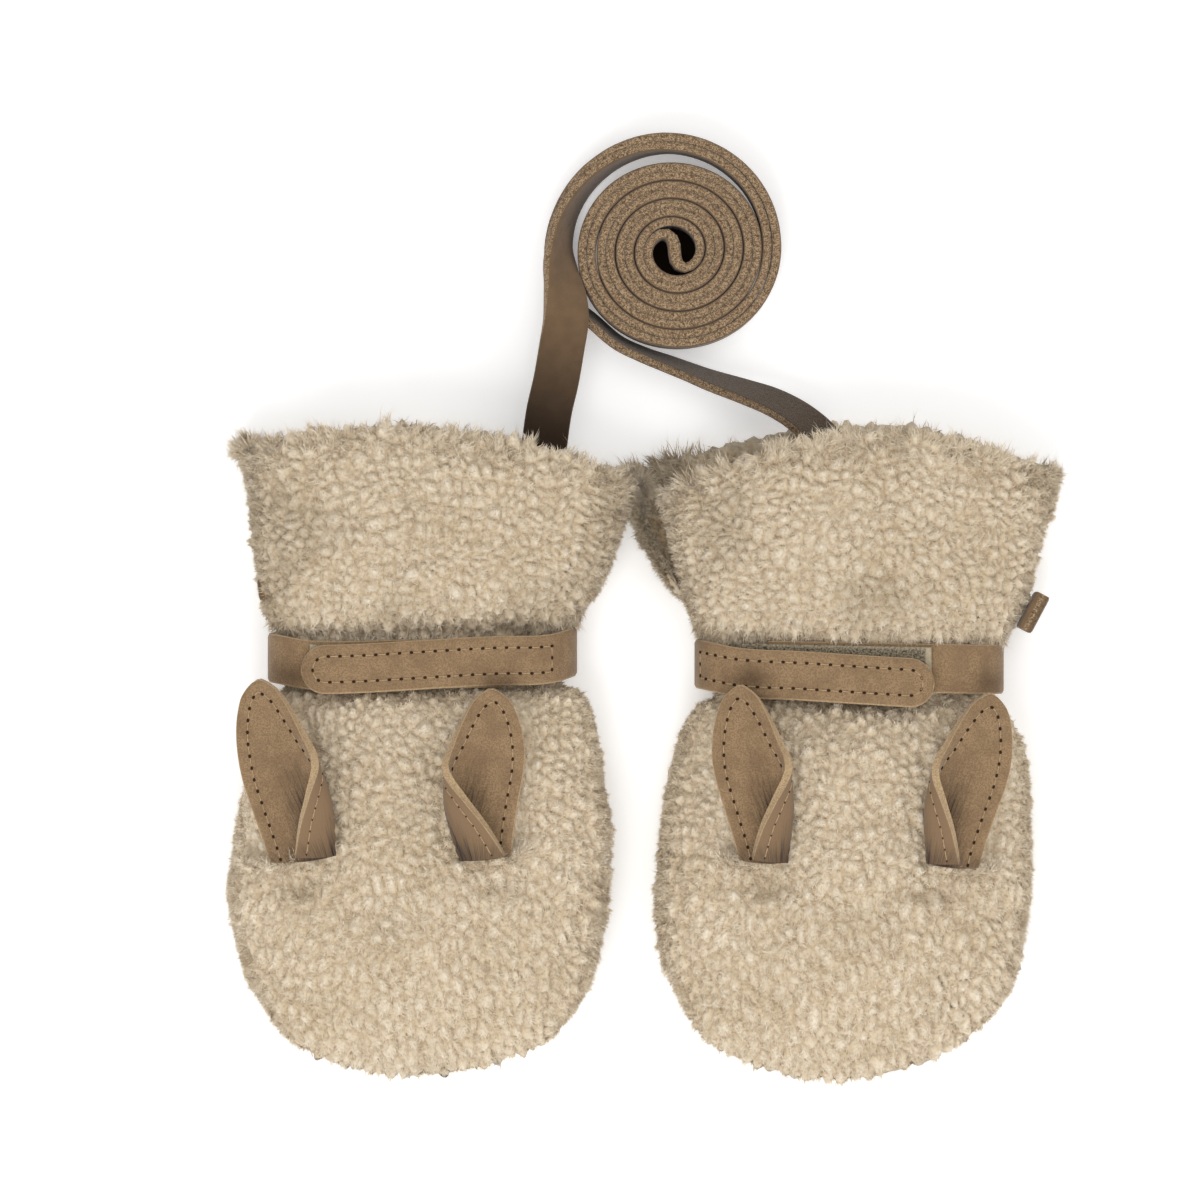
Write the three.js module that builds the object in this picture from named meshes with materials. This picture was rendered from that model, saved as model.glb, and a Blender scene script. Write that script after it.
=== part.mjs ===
// A pair of baby mittens in shearling, laid flat, with leather bunny ears, wrist straps that close
// with hook and loop, and one long leather strap that joins the pair and lies wound in a coil.
// Lengths are in millimetres. X runs across the pair, Y from the finger ends to the cuffs, Z up from
// the surface that the mittens lie on.
import * as THREE from 'three';

// Seams and walls
const SEAM_Z = 9.5;
const TOUCH_GAP = 0.3;
const SIDE_WALL = 6.5;
const COLUMNS = 14;
const FLAT_SHARE = 0.79;
const DOME_POWER = 2.4;
const LONGEST_ROW_STEP = 7;

// Wrist straps
const STRAP_WIDTH = 11.2;
const STRAP_THICK = 1.9;
const BELT_STEP = 3.2;
const BELT_HALF_LOOP = 35;
const SKEW_AT_BEND = 0.6;
const TAB_TIP_MIN = 1.3;
const PATCH_WIDTH = 9.6;
const PATCH_THICK = 0.9;
const PATCH_Z = 19.95;

// Joining strap
const CORD_WIDTH = 10.4;
const CORD_THICK = 1.9;
const COIL_CENTRE = [17.2, 80.7];
const LAYER_PITCH = 2.2;
const FIRST_RADIUS = 6.0;
const FIRST_TURN = 168;
const COIL_SQUASH = 0.05;
const SLACK = 3.0;
const TURN_STEP = 12;
const LEFT_COIL_END = 1590;
const RIGHT_COIL_END = 1935;
const RUN_STEP = 3.4;
const LEAVING_PARTS = 3;

// Ears
const EAR_THICK = 2.2;
const EAR_PITCH = -5;
const EAR_COLUMNS = 8;
const EAR_ROWS = 12;
const GATHER_REACH = 23;

const COLOURS = {
  fleece: 0xc9b896,
  leather: 0x93795a,
  suede: 0x8f775b,
  tape: 0x8d8878,
};

// Each row is one line across the panel pair, from the cuff's mouth to the finger end: its left and
// right ends, how far its middle bows towards the cuff, the fleece's crown over it, the hollow's
// ceiling and floor, and the underside's height above the surface.
const ROW_NAMES = ['xl', 'yl', 'xr', 'yr', 'bow', 'crown', 'ceiling', 'floor', 'under'];
const LEFT_ROWS = [
  [-83.3, 36.3, 9.7, 27.6, 8.3, 23.5, 16.5, 6.8, 0],
  [-82.8, 28.8, 7.8, 21.9, 5.1, 25.5, 16.0, 7.0, 0],
  [-81.7, 17.2, 5.1, 13.8, 2.3, 26.0, 15.5, 7.4, 0],
  [-80.5, 5.8, 1.6, 4.6, 0.7, 25.2, 14.5, 7.4, 0],
  [-79.6, -0.6, -1.4, 0.3, 0, 23.0, 13.2, 7.2, 0],
  [-76.8, -4.6, -4.6, -3.4, 0, 19.2, 13.3, 7.0, 1.0],
  [-74.5, -6.7, -7.5, -5.3, 0, 17.0, 13.2, 6.9, 2.5],
  [-74.5, -19.6, -7.5, -18.2, 0, 17.0, 13.2, 6.9, 2.5],
  [-77.7, -22.3, -2.8, -21.0, 0, 20.0, 13.5, 7.0, 1.0],
  [-81.9, -27.2, 0.2, -25.6, 0, 23.6, 14.2, 7.4, 0],
  [-83.7, -40.2, 2.5, -39.1, 0, 26.3, 16.0, 7.8, 0],
  [-86.0, -55.2, 3.9, -54.7, 0, 27.4, 17.0, 8.0, 0],
  [-87.2, -70.2, 3.7, -70.2, 0, 27.4, 17.0, 8.0, 0],
  [-85.3, -82.8, 1.6, -82.1, -0.7, 26.2, 16.0, 8.2, 0],
  [-82.6, -90.4, -0.7, -89.7, -2.3, 24.4, 14.0, 8.6, 0],
  [-78.7, -96.6, -4.1, -95.5, -5.1, 21.4, 9.65, 9.35, 0.4],
  [-74.8, -100.7, -7.6, -99.4, -7.4, 17.4, 9.65, 9.35, 2.2],
  [-71.3, -103.5, -10.3, -101.7, -9.2, 12.0, 9.65, 9.35, 6.2],
];
const RIGHT_CUFF_FRONT = [
  [13.8, 24.8, 105.8, 29.0, 12.4, 24.5, 17.6, 6.6, 0],
  [14.3, 17.2, 105.3, 21.2, 6.9, 25.8, 17.0, 6.8, 0],
  [15.6, 9.2, 102.6, 11.5, 2.8, 26.0, 15.8, 7.2, 0],
];
const RIGHT_CUFF_BACK = [
  [9.2, 26.2, 106.3, 29.0, 14.3, 24.5, 17.6, 6.6, 0],
  [8.3, 17.9, 105.3, 21.2, 7.8, 25.8, 17.0, 6.8, 0],
  [12.4, 9.2, 102.8, 11.5, 3.2, 26.0, 15.8, 7.2, 0],
];
const RIGHT_HAND = [
  [17.5, 1.2, 101.2, 2.3, 0.7, 25.2, 14.5, 7.4, 0],
  [19.3, -2.6, 98.2, -3.4, 0, 23.0, 13.2, 7.2, 0],
  [21.6, -6.2, 94.8, -7.4, 0, 19.2, 13.3, 7.0, 1.0],
  [24.2, -8.3, 90.9, -9.6, 0, 17.0, 13.2, 6.9, 2.5],
  [24.2, -21.2, 90.9, -22.5, 0, 17.0, 13.2, 6.9, 2.5],
  [20.7, -24.0, 94.3, -25.3, 0, 19.4, 13.5, 7.0, 1.0],
  [17.5, -29.0, 98.0, -29.8, 0, 23.0, 14.2, 7.4, 0],
  [14.3, -40.2, 100.7, -39.1, 0, 26.3, 16.0, 7.8, 0],
  [12.4, -55.2, 101.7, -54.7, 0, 27.4, 17.0, 8.0, 0],
  [11.0, -69.0, 101.2, -69.0, 0, 27.4, 17.0, 8.0, 0],
  [11.5, -80.5, 99.8, -80.5, -0.7, 26.2, 16.0, 8.2, 0],
  [13.8, -88.5, 97.5, -88.1, -2.3, 24.4, 14.0, 8.6, 0],
  [17.5, -95.5, 93.4, -94.8, -5.5, 21.4, 9.65, 9.35, 0.4],
  [20.7, -99.6, 89.2, -98.9, -8.3, 17.4, 9.65, 9.35, 2.2],
  [23.9, -103.0, 85.6, -102.1, -10.3, 12.0, 9.65, 9.35, 6.2],
];

// The wrist strap's centreline round one wrist, from the tab over the front, round the closing side,
// under the back and over the front again below the tab. X is towards the closing side. Each mitten
// says where its tab's round end is.
const BELT_PATH_NAMES = ['x', 'z', 'layer'];
const BELT_PATH = [
  [-14, 21.65, 1], [0, 21.65, 1], [14, 21.65, 1], [20, 21.6, 1],
  [26, 20.6, 0.8], [30.6, 18.0, 0.4], [33.7, 14.0, 0.1], [34.75, 9.5, 0], [33.9, 4.8, 0],
  [31.2, 1.9, 0], [27, 0.95, 0], [13, 0.95, 0], [0, 0.95, 0], [-13, 0.95, 0],
  [-27, 0.95, 0], [-31.2, 1.9, 0], [-33.9, 4.8, 0], [-34.75, 9.5, 0], [-33.7, 13.6, 0],
  [-30.6, 16.5, 0], [-26, 17.9, 0], [-21, 18.25, 0], [-7, 18.25, 0], [6, 18.25, 0],
  [19, 18.25, 0],
];

// Sections of an ear from its base to its tip. Each runs from the outer edge over the cup's bottom and
// the fold to the edge of the part that is folded over.
const EAR_NAMES = ['y', 'lx', 'lz', 'cx', 'cz', 'fx', 'fz', 'tx', 'tz'];
const EAR_SECTIONS = [
  [0, -6.2, 1.2, 0.5, 0.6, 9.2, 2.2, 1.0, 5.0],
  [7, -7.2, 1.4, 0.6, 0.6, 10.6, 3.0, 4.2, 6.8],
  [13, -8.0, 1.8, 1.0, 0.8, 10.8, 3.9, 7.6, 7.9],
  [20, -8.7, 2.3, 1.0, 1.2, 9.2, 3.7, 10.6, 7.2],
  [27, -8.4, 2.8, 0.4, 2.0, 5.6, 3.0, 8.4, 4.9],
  [33, -7.2, 3.2, -0.3, 2.6, 3.6, 3.2, 6.2, 4.0],
  [38, -5.2, 3.4, -0.7, 3.0, 1.8, 3.2, 3.9, 3.5],
  [41.4, -2.2, 3.4, -0.9, 3.2, 0.5, 3.3, 1.3, 3.4],
];

// Where each ear's base is sewn on, its heading, its tilt towards the mitten's edge, whether its fold
// is on the left, how far the fold closes over the base, its width and length against the sections,
// how much its base is gathered and how far the base is drawn aside.
const EAR_SHAPE_NAMES = ['x', 'y', 'heading', 'tilt', 'flip', 'close', 'wide', 'long', 'gather',
  'sway'];
const EARS = {
  left_mitten_left_ear: [-69.0, -58.7, 12, 14, 1, 0, 1, 1, 0.03, 0],
  left_mitten_right_ear: [-26.4, -58.0, -2, 5, -1, 3.4, 1, 0.91, 0.28, 1.8],
  right_mitten_left_ear: [35.7, -58.9, 5, 8, 1, 1.5, 0.955, 0.955, 0.3, 0.3],
  right_mitten_right_ear: [80.3, -59.8, -12.5, 8, -1, 0, 0.955, 0.95, 0.22, 1.3],
};

// The heart of the coil: the strap's middle runs between the two small holes.
const COIL_HEART = [[0, 0], [-0.15, 1.6], [-0.9, 3.2], [-2.3, 4.0], [-3.9, 3.5], [-5.1, 2.3]];

// Where the strap leaves the coil: turn (in degrees from the coil's right), height of its middle and
// lean from upright. Then its free run: x, y, height and lean.
const LEFT_LEAVING = [[1590.8, 5.2, 0], [1606, 8.0, 2], [1620, 10.9, 14]];
const LEFT_FREE = [
  [-9.2, 77.2, 11.7, 32], [-8.6, 73.6, 12.9, 46], [-7.9, 69.0, 13.6, 64], [-7.8, 64.4, 13.5, 76],
  [-8.7, 58.7, 12.9, 84], [-10.1, 50.6, 12.0, 88], [-11.7, 43.7, 11.1, 90], [-12.7, 36.8, 10.1, 90],
  [-13.3, 30.0, 9.0, 90], [-13.8, 22.0, 8.3, 90],
];
const RIGHT_LEAVING = [[1935.8, 5.2, 0], [1960, 5.2, 0], [1980, 5.26, 3]];
const RIGHT_FREE = [
  [-10.9, 76.0, 5.3, 9], [-8.8, 71.3, 5.3, 12], [-5.8, 67.8, 5.3, 12], [-2.1, 64.9, 5.3, 12],
  [4.0, 59.7, 5.3, 12], [10.0, 56.8, 5.3, 13], [16.1, 54.5, 5.3, 16], [20.8, 52.7, 5.5, 18],
  [25.3, 50.9, 6.0, 21], [33.7, 48.0, 7.9, 27], [40.3, 45.4, 10.0, 33], [46.5, 41.6, 11.8, 39],
  [51.5, 36.6, 12.4, 48], [54.8, 30.5, 11.9, 62], [56.6, 24.0, 11.0, 75],
];

const MITTENS = {
  left: {
    front: table(LEFT_ROWS), back: table(LEFT_ROWS), centre: -41.0, closing: 1,
    belt: { y: -12.4, tilt: 0.7, slant: -3.05, tabEnd: -27.3, tapeEnd: -25.4 },
    tab: { x: -81.3, y: 2.0, turn: 7, size: [1.4, 6.0, 6.0] },
  },
  right: {
    front: table([...RIGHT_CUFF_FRONT, ...RIGHT_HAND]),
    back: table([...RIGHT_CUFF_BACK, ...RIGHT_HAND]), centre: 57.5, closing: -1,
    belt: { y: -15.35, tilt: 0.65, slant: -3.4, tabEnd: -18.9, tapeEnd: -18.3 },
    tab: { x: 100.4, y: -3.2, turn: -28, size: [2.2, 9.6, 8.0] },
  },
};

function named(names, row) {
  return Object.fromEntries(names.map((name, index) => [name, row[index]]));
}

function table(rows) {
  return rows.map((row) => named(ROW_NAMES, row));
}

function mix(from, to, share) {
  return from + (to - from) * share;
}

function smooth(share) {
  const held = Math.min(Math.max(share, 0), 1);
  return held * held * (3 - 2 * held);
}

// A row halfway between two, wherever two rows stand far apart.
function fillRows(rows) {
  const curves = Object.fromEntries(ROW_NAMES.map((name) => [name,
    new THREE.SplineCurve(rows.map((row, index) => new THREE.Vector2(index, row[name])))]));
  const filled = [];
  rows.forEach((row, index) => {
    filled.push(row);
    const next = rows[index + 1];
    if (next && row.yl - next.yl > LONGEST_ROW_STEP && row.crown !== next.crown) {
      const at = (index + 0.5) / (rows.length - 1);
      filled.push(Object.fromEntries(ROW_NAMES.map((name) => {
        const value = curves[name].getPoint(at).y;
        return [name, name === 'under' ? Math.max(value, 0) : value];
      })));
    }
  });
  return filled;
}

// The share of a panel's full height at a place across it, 1 in the middle and 0 at the side seam.
function dome(across) {
  return Math.sqrt(Math.max(0, 1 - Math.abs(across) ** DOME_POWER));
}

// The underside is flat over most of its width and turns up round the side.
function turnUp(across) {
  const past = Math.max(0, (Math.abs(across) - FLAT_SHARE) / (1 - FLAT_SHARE));
  return 1 - Math.sqrt(Math.max(0, 1 - past * past));
}

function rowPoint(row, across, inset, z) {
  const half = (row.xr - row.xl) / 2;
  const share = across * (half - inset) / half;
  const x = (row.xl + row.xr) / 2 + share * half;
  const y = mix(row.yl, row.yr, (share + 1) / 2) + row.bow * (1 - share * share);
  return new THREE.Vector3(x, y, z);
}

function panelGrid(rows, inset, heightOf) {
  return rows.map((row) => Array.from({ length: COLUMNS + 1 }, (_, column) => {
    const across = -Math.cos(Math.PI * column / COLUMNS);
    return rowPoint(row, across, inset, heightOf(row, across));
  }));
}

// A closed body between two grids of points that have the same rows and columns.
function solidBetween(upper, lower) {
  const rows = upper.length;
  const columns = upper[0].length;
  const positions = [];
  const indexOf = (side, row, column) => (side * rows + row) * columns + column;
  [upper, lower].forEach((grid) => grid.forEach((line) => line.forEach((point) => {
    positions.push(point.x, point.y, point.z);
  })));
  const faces = [];
  const quad = (a, b, c, d) => faces.push(a, b, c, a, c, d);
  for (let row = 0; row < rows - 1; row += 1) {
    for (let column = 0; column < columns - 1; column += 1) {
      quad(indexOf(0, row, column), indexOf(0, row + 1, column),
        indexOf(0, row + 1, column + 1), indexOf(0, row, column + 1));
      quad(indexOf(1, row, column), indexOf(1, row, column + 1),
        indexOf(1, row + 1, column + 1), indexOf(1, row + 1, column));
    }
  }
  for (let row = 0; row < rows - 1; row += 1) {
    const last = columns - 1;
    quad(indexOf(0, row, 0), indexOf(1, row, 0), indexOf(1, row + 1, 0), indexOf(0, row + 1, 0));
    quad(indexOf(0, row, last), indexOf(0, row + 1, last),
      indexOf(1, row + 1, last), indexOf(1, row, last));
  }
  for (let column = 0; column < columns - 1; column += 1) {
    const last = rows - 1;
    quad(indexOf(0, 0, column), indexOf(0, 0, column + 1),
      indexOf(1, 0, column + 1), indexOf(1, 0, column));
    quad(indexOf(0, last, column), indexOf(1, last, column),
      indexOf(1, last, column + 1), indexOf(0, last, column + 1));
  }
  return bodyOf(positions, faces);
}

// Faces point outwards: the body's signed volume tells whether to turn them round.
function bodyOf(positions, faces) {
  const corner = (index) => new THREE.Vector3().fromArray(positions, index * 3);
  let volume = 0;
  for (let start = 0; start < faces.length; start += 3) {
    const [a, b, c] = [0, 1, 2].map((step) => corner(faces[start + step]));
    volume += a.dot(b.cross(c)) / 6;
  }
  const turned = volume < 0 ? [...faces].reverse() : faces;
  const geometry = new THREE.BufferGeometry();
  geometry.setAttribute('position', new THREE.Float32BufferAttribute(positions, 3));
  geometry.setIndex(turned);
  geometry.computeVertexNormals();
  return geometry;
}

function frontPanel(rows) {
  const seam = SEAM_Z + TOUCH_GAP / 2;
  const outer = panelGrid(rows, 0, (row, across) => mix(seam, row.crown, dome(across)));
  const inner = panelGrid(rows, SIDE_WALL, (row, across) => mix(seam, row.ceiling, dome(across)));
  return solidBetween(outer, inner);
}

function backPanel(rows) {
  const seam = SEAM_Z - TOUCH_GAP / 2;
  const inner = panelGrid(rows, SIDE_WALL, (row, across) => mix(row.floor, seam, turnUp(across)));
  const outer = panelGrid(rows, 0, (row, across) => mix(row.under, seam, turnUp(across)));
  return solidBetween(inner, outer);
}

// Where the wrist strap's middle line lies along the mitten. The tab's layer is shifted, as it is
// closed askew.
function beltLine(belt, x, layer) {
  const askew = SKEW_AT_BEND + (1 - SKEW_AT_BEND) * smooth((20 - x) / 40);
  return belt.y + belt.tilt * x / BELT_HALF_LOOP + belt.slant * layer * askew;
}

// Height of the front panel, with its wrist strap, over a place on the surface.
function heightOver(mitten, x, y) {
  const lineY = (row) => {
    const share = (2 * x - row.xl - row.xr) / (row.xr - row.xl);
    return mix(row.yl, row.yr, (share + 1) / 2) + row.bow * (1 - share * share);
  };
  let height = 0;
  mitten.rows.slice(0, -1).forEach((row, index) => {
    const next = mitten.rows[index + 1];
    const from = lineY(row);
    const to = lineY(next);
    if (y > from || y < to) return;
    const share = (from - y) / (from - to);
    const middle = mix(row.xl + row.xr, next.xl + next.xr, share) / 2;
    const half = mix(row.xr - row.xl, next.xr - next.xl, share) / 2;
    if (Math.abs(x - middle) > half) return;
    const crown = mix(row.crown, next.crown, share);
    height = Math.max(height, mix(SEAM_Z, crown, dome((x - middle) / half)));
  });
  const beltX = (x - mitten.centre) * mitten.closing;
  const near = (layer) => Math.abs(y - beltLine(mitten.belt, beltX, layer)) < STRAP_WIDTH / 2 + 1;
  const tabStart = mitten.belt.tabEnd - 1.2;
  if (near(1) && beltX > tabStart && beltX < 26) height = Math.max(height, 22.6);
  if (near(0) && beltX <= tabStart) height = Math.max(height, 19.2);
  return height;
}

// A flat strip of leather or tape through stations that give its middle, its width's direction and
// its thickness's direction.
function strip(stations) {
  const edge = (station, width, thick) => station.at.clone()
    .addScaledVector(station.widthWay, width * station.halfWidth)
    .addScaledVector(station.thickWay, thick * station.halfThick);
  const upper = stations.map((station) => [edge(station, -1, 1), edge(station, 1, 1)]);
  const lower = stations.map((station) => [edge(station, -1, -1), edge(station, 1, -1)]);
  return solidBetween(upper, lower);
}

function beltStrip(mitten) {
  const rows = [[mitten.belt.tabEnd, BELT_PATH[0][1], 1], ...BELT_PATH];
  const curve = new THREE.CatmullRomCurve3(rows.map((row) => {
    const { x, z, layer } = named(BELT_PATH_NAMES, row);
    return new THREE.Vector3(
      mitten.centre + mitten.closing * x, beltLine(mitten.belt, x, layer), z);
  }), false, 'centripetal');
  const length = curve.getLength();
  const radius = STRAP_WIDTH / 2;
  const places = [0, 0.35, 1.0, 2.0, 3.4, radius];
  for (let place = radius + BELT_STEP; place < length - BELT_STEP / 2; place += BELT_STEP) {
    places.push(place);
  }
  places.push(length);
  const acrossStrap = new THREE.Vector3(0, 1, 0);
  return strip(places.map((place) => {
    const share = place / length;
    const along = curve.getTangentAt(share);
    along.y = 0;
    const at = curve.getPointAt(share);
    at.z = Math.max(at.z, STRAP_THICK / 2);
    const short = Math.max(0, radius - place);
    return {
      at,
      widthWay: acrossStrap,
      thickWay: along.normalize().clone().cross(acrossStrap),
      halfWidth: Math.max(TAB_TIP_MIN, Math.sqrt(radius * radius - short * short)),
      halfThick: STRAP_THICK / 2,
    };
  }));
}

// The hook-and-loop tape between the strap's two layers.
function patchStrip(mitten) {
  const ends = [mitten.belt.tapeEnd, 18.6];
  const at = (x) => new THREE.Vector3(
    mitten.centre + mitten.closing * x, beltLine(mitten.belt, x, 0), PATCH_Z);
  return strip([ends[0], (ends[0] + ends[1]) / 2, ends[1]].map((x) => ({
    at: at(x),
    widthWay: new THREE.Vector3(0, 1, 0),
    thickWay: new THREE.Vector3(0, 0, 1),
    halfWidth: PATCH_WIDTH / 2,
    halfThick: PATCH_THICK / 2,
  })));
}

// A point on one of the strap's two arms in the coil. The second arm is the first turned half round.
function armPoint(arm, turn) {
  const start = 180 + 180 * arm;
  const looseFrom = 1440 + 360 * arm;
  const loose = smooth((turn - looseFrom) / 110) * SLACK;
  const radius = FIRST_RADIUS + LAYER_PITCH * (turn - start) / 180 + loose;
  const angle = THREE.MathUtils.degToRad(turn);
  const squash = 1 - COIL_SQUASH * Math.sin(angle) ** 2;
  return new THREE.Vector2(
    COIL_CENTRE[0] + radius * squash * Math.cos(angle),
    COIL_CENTRE[1] + radius * squash * Math.sin(angle),
  );
}

function armLine(arm, end) {
  const sign = arm === 0 ? 1 : -1;
  const line = COIL_HEART.slice(arm).map(([x, y]) => new THREE.Vector2(
    COIL_CENTRE[0] + sign * x, COIL_CENTRE[1] + sign * y));
  const start = FIRST_TURN + 180 * arm;
  for (let turn = start; turn < end; turn += TURN_STEP) {
    line.push(armPoint(arm, turn));
  }
  line.push(armPoint(arm, end));
  return line;
}

// Stations of an upright or leaning strap through points that give x, y, height and lean.
function strapStations(points) {
  return points.map((point, index) => {
    const before = points[Math.max(index - 1, 0)];
    const after = points[Math.min(index + 1, points.length - 1)];
    const travel = new THREE.Vector3(after.x - before.x, after.y - before.y, after.z - before.z);
    const lean = THREE.MathUtils.degToRad(point.lean);
    const outward = new THREE.Vector3(travel.y, -travel.x, 0).normalize();
    const widthWay = outward.multiplyScalar(Math.sin(lean));
    widthWay.z = Math.cos(lean);
    return {
      at: new THREE.Vector3(point.x, point.y, point.z),
      widthWay,
      thickWay: travel.clone().cross(widthWay).normalize(),
      halfWidth: CORD_WIDTH / 2,
      halfThick: CORD_THICK / 2,
    };
  });
}

function coilStrip() {
  const line = [...armLine(0, LEFT_COIL_END).reverse(), ...armLine(1, RIGHT_COIL_END)];
  return strip(strapStations(line.map((point) => ({
    x: point.x, y: point.y, z: CORD_WIDTH / 2, lean: 0,
  }))));
}

// Points on the coil's own line, close enough together to keep its roundness.
function leavingPoints(arm, leaving) {
  const points = [];
  leaving.slice(0, -1).forEach((row, index) => {
    const next = leaving[index + 1];
    for (let part = 0; part < LEAVING_PARTS; part += 1) {
      const [turn, z, lean] = row.map((value, column) => mix(value, next[column],
        part / LEAVING_PARTS));
      const place = armPoint(arm, turn);
      points.push({ x: place.x, y: place.y, z, lean });
    }
  });
  const [turn, z, lean] = leaving[leaving.length - 1];
  const place = armPoint(arm, turn);
  points.push({ x: place.x, y: place.y, z, lean });
  return points;
}

function runStrip(arm, leaving, free) {
  const rows = [
    ...leavingPoints(arm, leaving),
    ...free.map(([x, y, z, lean]) => ({ x, y, z, lean })),
  ];
  const path = new THREE.CatmullRomCurve3(
    rows.map((row) => new THREE.Vector3(row.x, row.y, row.z)), false, 'centripetal');
  const leans = new THREE.SplineCurve(rows.map((row, index) => new THREE.Vector2(index, row.lean)));
  const steps = Math.round(path.getLength() / RUN_STEP);
  const points = Array.from({ length: steps + 1 }, (_, step) => {
    const share = path.getUtoTmapping(step / steps);
    const place = path.getPoint(share);
    return { x: place.x, y: place.y, z: place.z, lean: leans.getPoint(share).y };
  });
  return strip(strapStations(points));
}

// A cupped ear: one leaf of doubled leather whose inner margin folds over towards its base.
function earGrids(ear) {
  const sections = EAR_SECTIONS.map((row) => named(EAR_NAMES, row));
  const curveOf = (name) => new THREE.SplineCurve(
    sections.map((row, index) => new THREE.Vector2(index, row[name])));
  const curves = Object.fromEntries(EAR_NAMES.map((name) => [name, curveOf(name)]));
  const valueAt = (name, share) => curves[name].getPoint(share).y;
  const middle = Array.from({ length: EAR_ROWS + 1 }, (_, row) => {
    const share = row / EAR_ROWS;
    const y = valueAt('y', share) * ear.long;
    const near = Math.max(0, 1 - y / GATHER_REACH);
    const across = (name) => valueAt(name, share) * ear.wide * (1 - ear.gather * near)
      + ear.sway * ear.flip * near * near;
    const closing = ear.close * Math.max(0, 1 - y / 20);
    const cross = new THREE.CatmullRomCurve3([
      new THREE.Vector3(across('lx'), y, valueAt('lz', share)),
      new THREE.Vector3(across('cx'), y, valueAt('cz', share)),
      new THREE.Vector3(across('fx'), y, valueAt('fz', share)),
      new THREE.Vector3(across('tx') - closing, y, valueAt('tz', share)),
    ], false, 'centripetal');
    return cross.getSpacedPoints(EAR_COLUMNS);
  });
  const offset = (side) => middle.map((line, row) => line.map((point, column) => {
    const alongRows = middle[Math.min(row + 1, EAR_ROWS)][column].clone()
      .sub(middle[Math.max(row - 1, 0)][column]);
    const acrossRow = line[Math.min(column + 1, EAR_COLUMNS)].clone()
      .sub(line[Math.max(column - 1, 0)]);
    const out = acrossRow.cross(alongRows).normalize().multiplyScalar(side * EAR_THICK / 2);
    return point.clone().add(out);
  }));
  return [offset(1), offset(-1)];
}

function placeEar(ear, mitten) {
  const turn = new THREE.Matrix4().makeRotationZ(THREE.MathUtils.degToRad(ear.heading));
  const tilt = new THREE.Matrix4().makeRotationY(THREE.MathUtils.degToRad(-ear.tilt * ear.flip));
  const pitch = new THREE.Matrix4().makeRotationX(THREE.MathUtils.degToRad(EAR_PITCH));
  const mirror = new THREE.Matrix4().makeScale(ear.flip, 1, 1);
  const place = new THREE.Matrix4().makeTranslation(ear.x, ear.y, 0)
    .multiply(turn).multiply(tilt).multiply(pitch).multiply(mirror);
  const grids = earGrids(ear).map((grid) => grid.map((line) => line.map(
    (point) => point.applyMatrix4(place))));
  const lift = Math.max(...grids.flat(2).map(
    (point) => heightOver(mitten, point.x, point.y) + TOUCH_GAP - point.z));
  grids.flat(2).forEach((point) => { point.z += lift; });
  return solidBetween(grids[0], grids[1]);
}

function material(colour, roughness) {
  return new THREE.MeshStandardMaterial({ color: colour, roughness, metalness: 0 });
}

const fleece = material(COLOURS.fleece, 1.0);
const leather = material(COLOURS.leather, 0.8);
const suede = material(COLOURS.suede, 0.95);
const tape = material(COLOURS.tape, 0.9);

const pair = new THREE.Group();

function add(parent, name, geometry, look) {
  const mesh = new THREE.Mesh(geometry, look);
  mesh.name = name;
  parent.add(mesh);
  return mesh;
}

Object.entries(MITTENS).forEach(([side, mitten]) => {
  const group = new THREE.Group();
  mitten.rows = fillRows(mitten.front);
  add(group, `${side}_front_panel`, frontPanel(mitten.rows), fleece);
  add(group, `${side}_back_panel`, backPanel(fillRows(mitten.back)), fleece);
  add(group, `${side}_wrist_strap`, beltStrip(mitten), leather);
  add(group, `${side}_closure_tape`, patchStrip(mitten), tape);
  Object.keys(EARS).filter((name) => name.startsWith(side)).forEach((name) => {
    add(group, name, placeEar(named(EAR_SHAPE_NAMES, EARS[name]), mitten), leather);
  });
  const tab = add(group, `${side}_side_tab`, new THREE.BoxGeometry(...mitten.tab.size), leather);
  tab.position.set(mitten.tab.x, mitten.tab.y, SEAM_Z);
  tab.rotation.z = THREE.MathUtils.degToRad(mitten.tab.turn);
  pair.add(group);
});

const strap = new THREE.Group();
add(strap, 'joining_strap_coil', coilStrip(), suede);
add(strap, 'joining_strap_left_run', runStrip(0, LEFT_LEAVING, LEFT_FREE), suede);
add(strap, 'joining_strap_right_run', runStrip(1, RIGHT_LEAVING, RIGHT_FREE), suede);
pair.add(strap);

// The origin is on the surface, under the middle of the whole pair.
pair.updateMatrixWorld(true);
const bounds = new THREE.Box3().setFromObject(pair, true);
const middle = bounds.getCenter(new THREE.Vector3());
pair.position.set(-middle.x, -middle.y, -bounds.min.z);

const group = new THREE.Group();
group.add(pair);

export default group;
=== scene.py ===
"""Looks of a pair of shearling baby mittens with leather bunny ears and a coiled joining strap."""
import logging
import math
from dataclasses import dataclass, field
from enum import Enum

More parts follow.
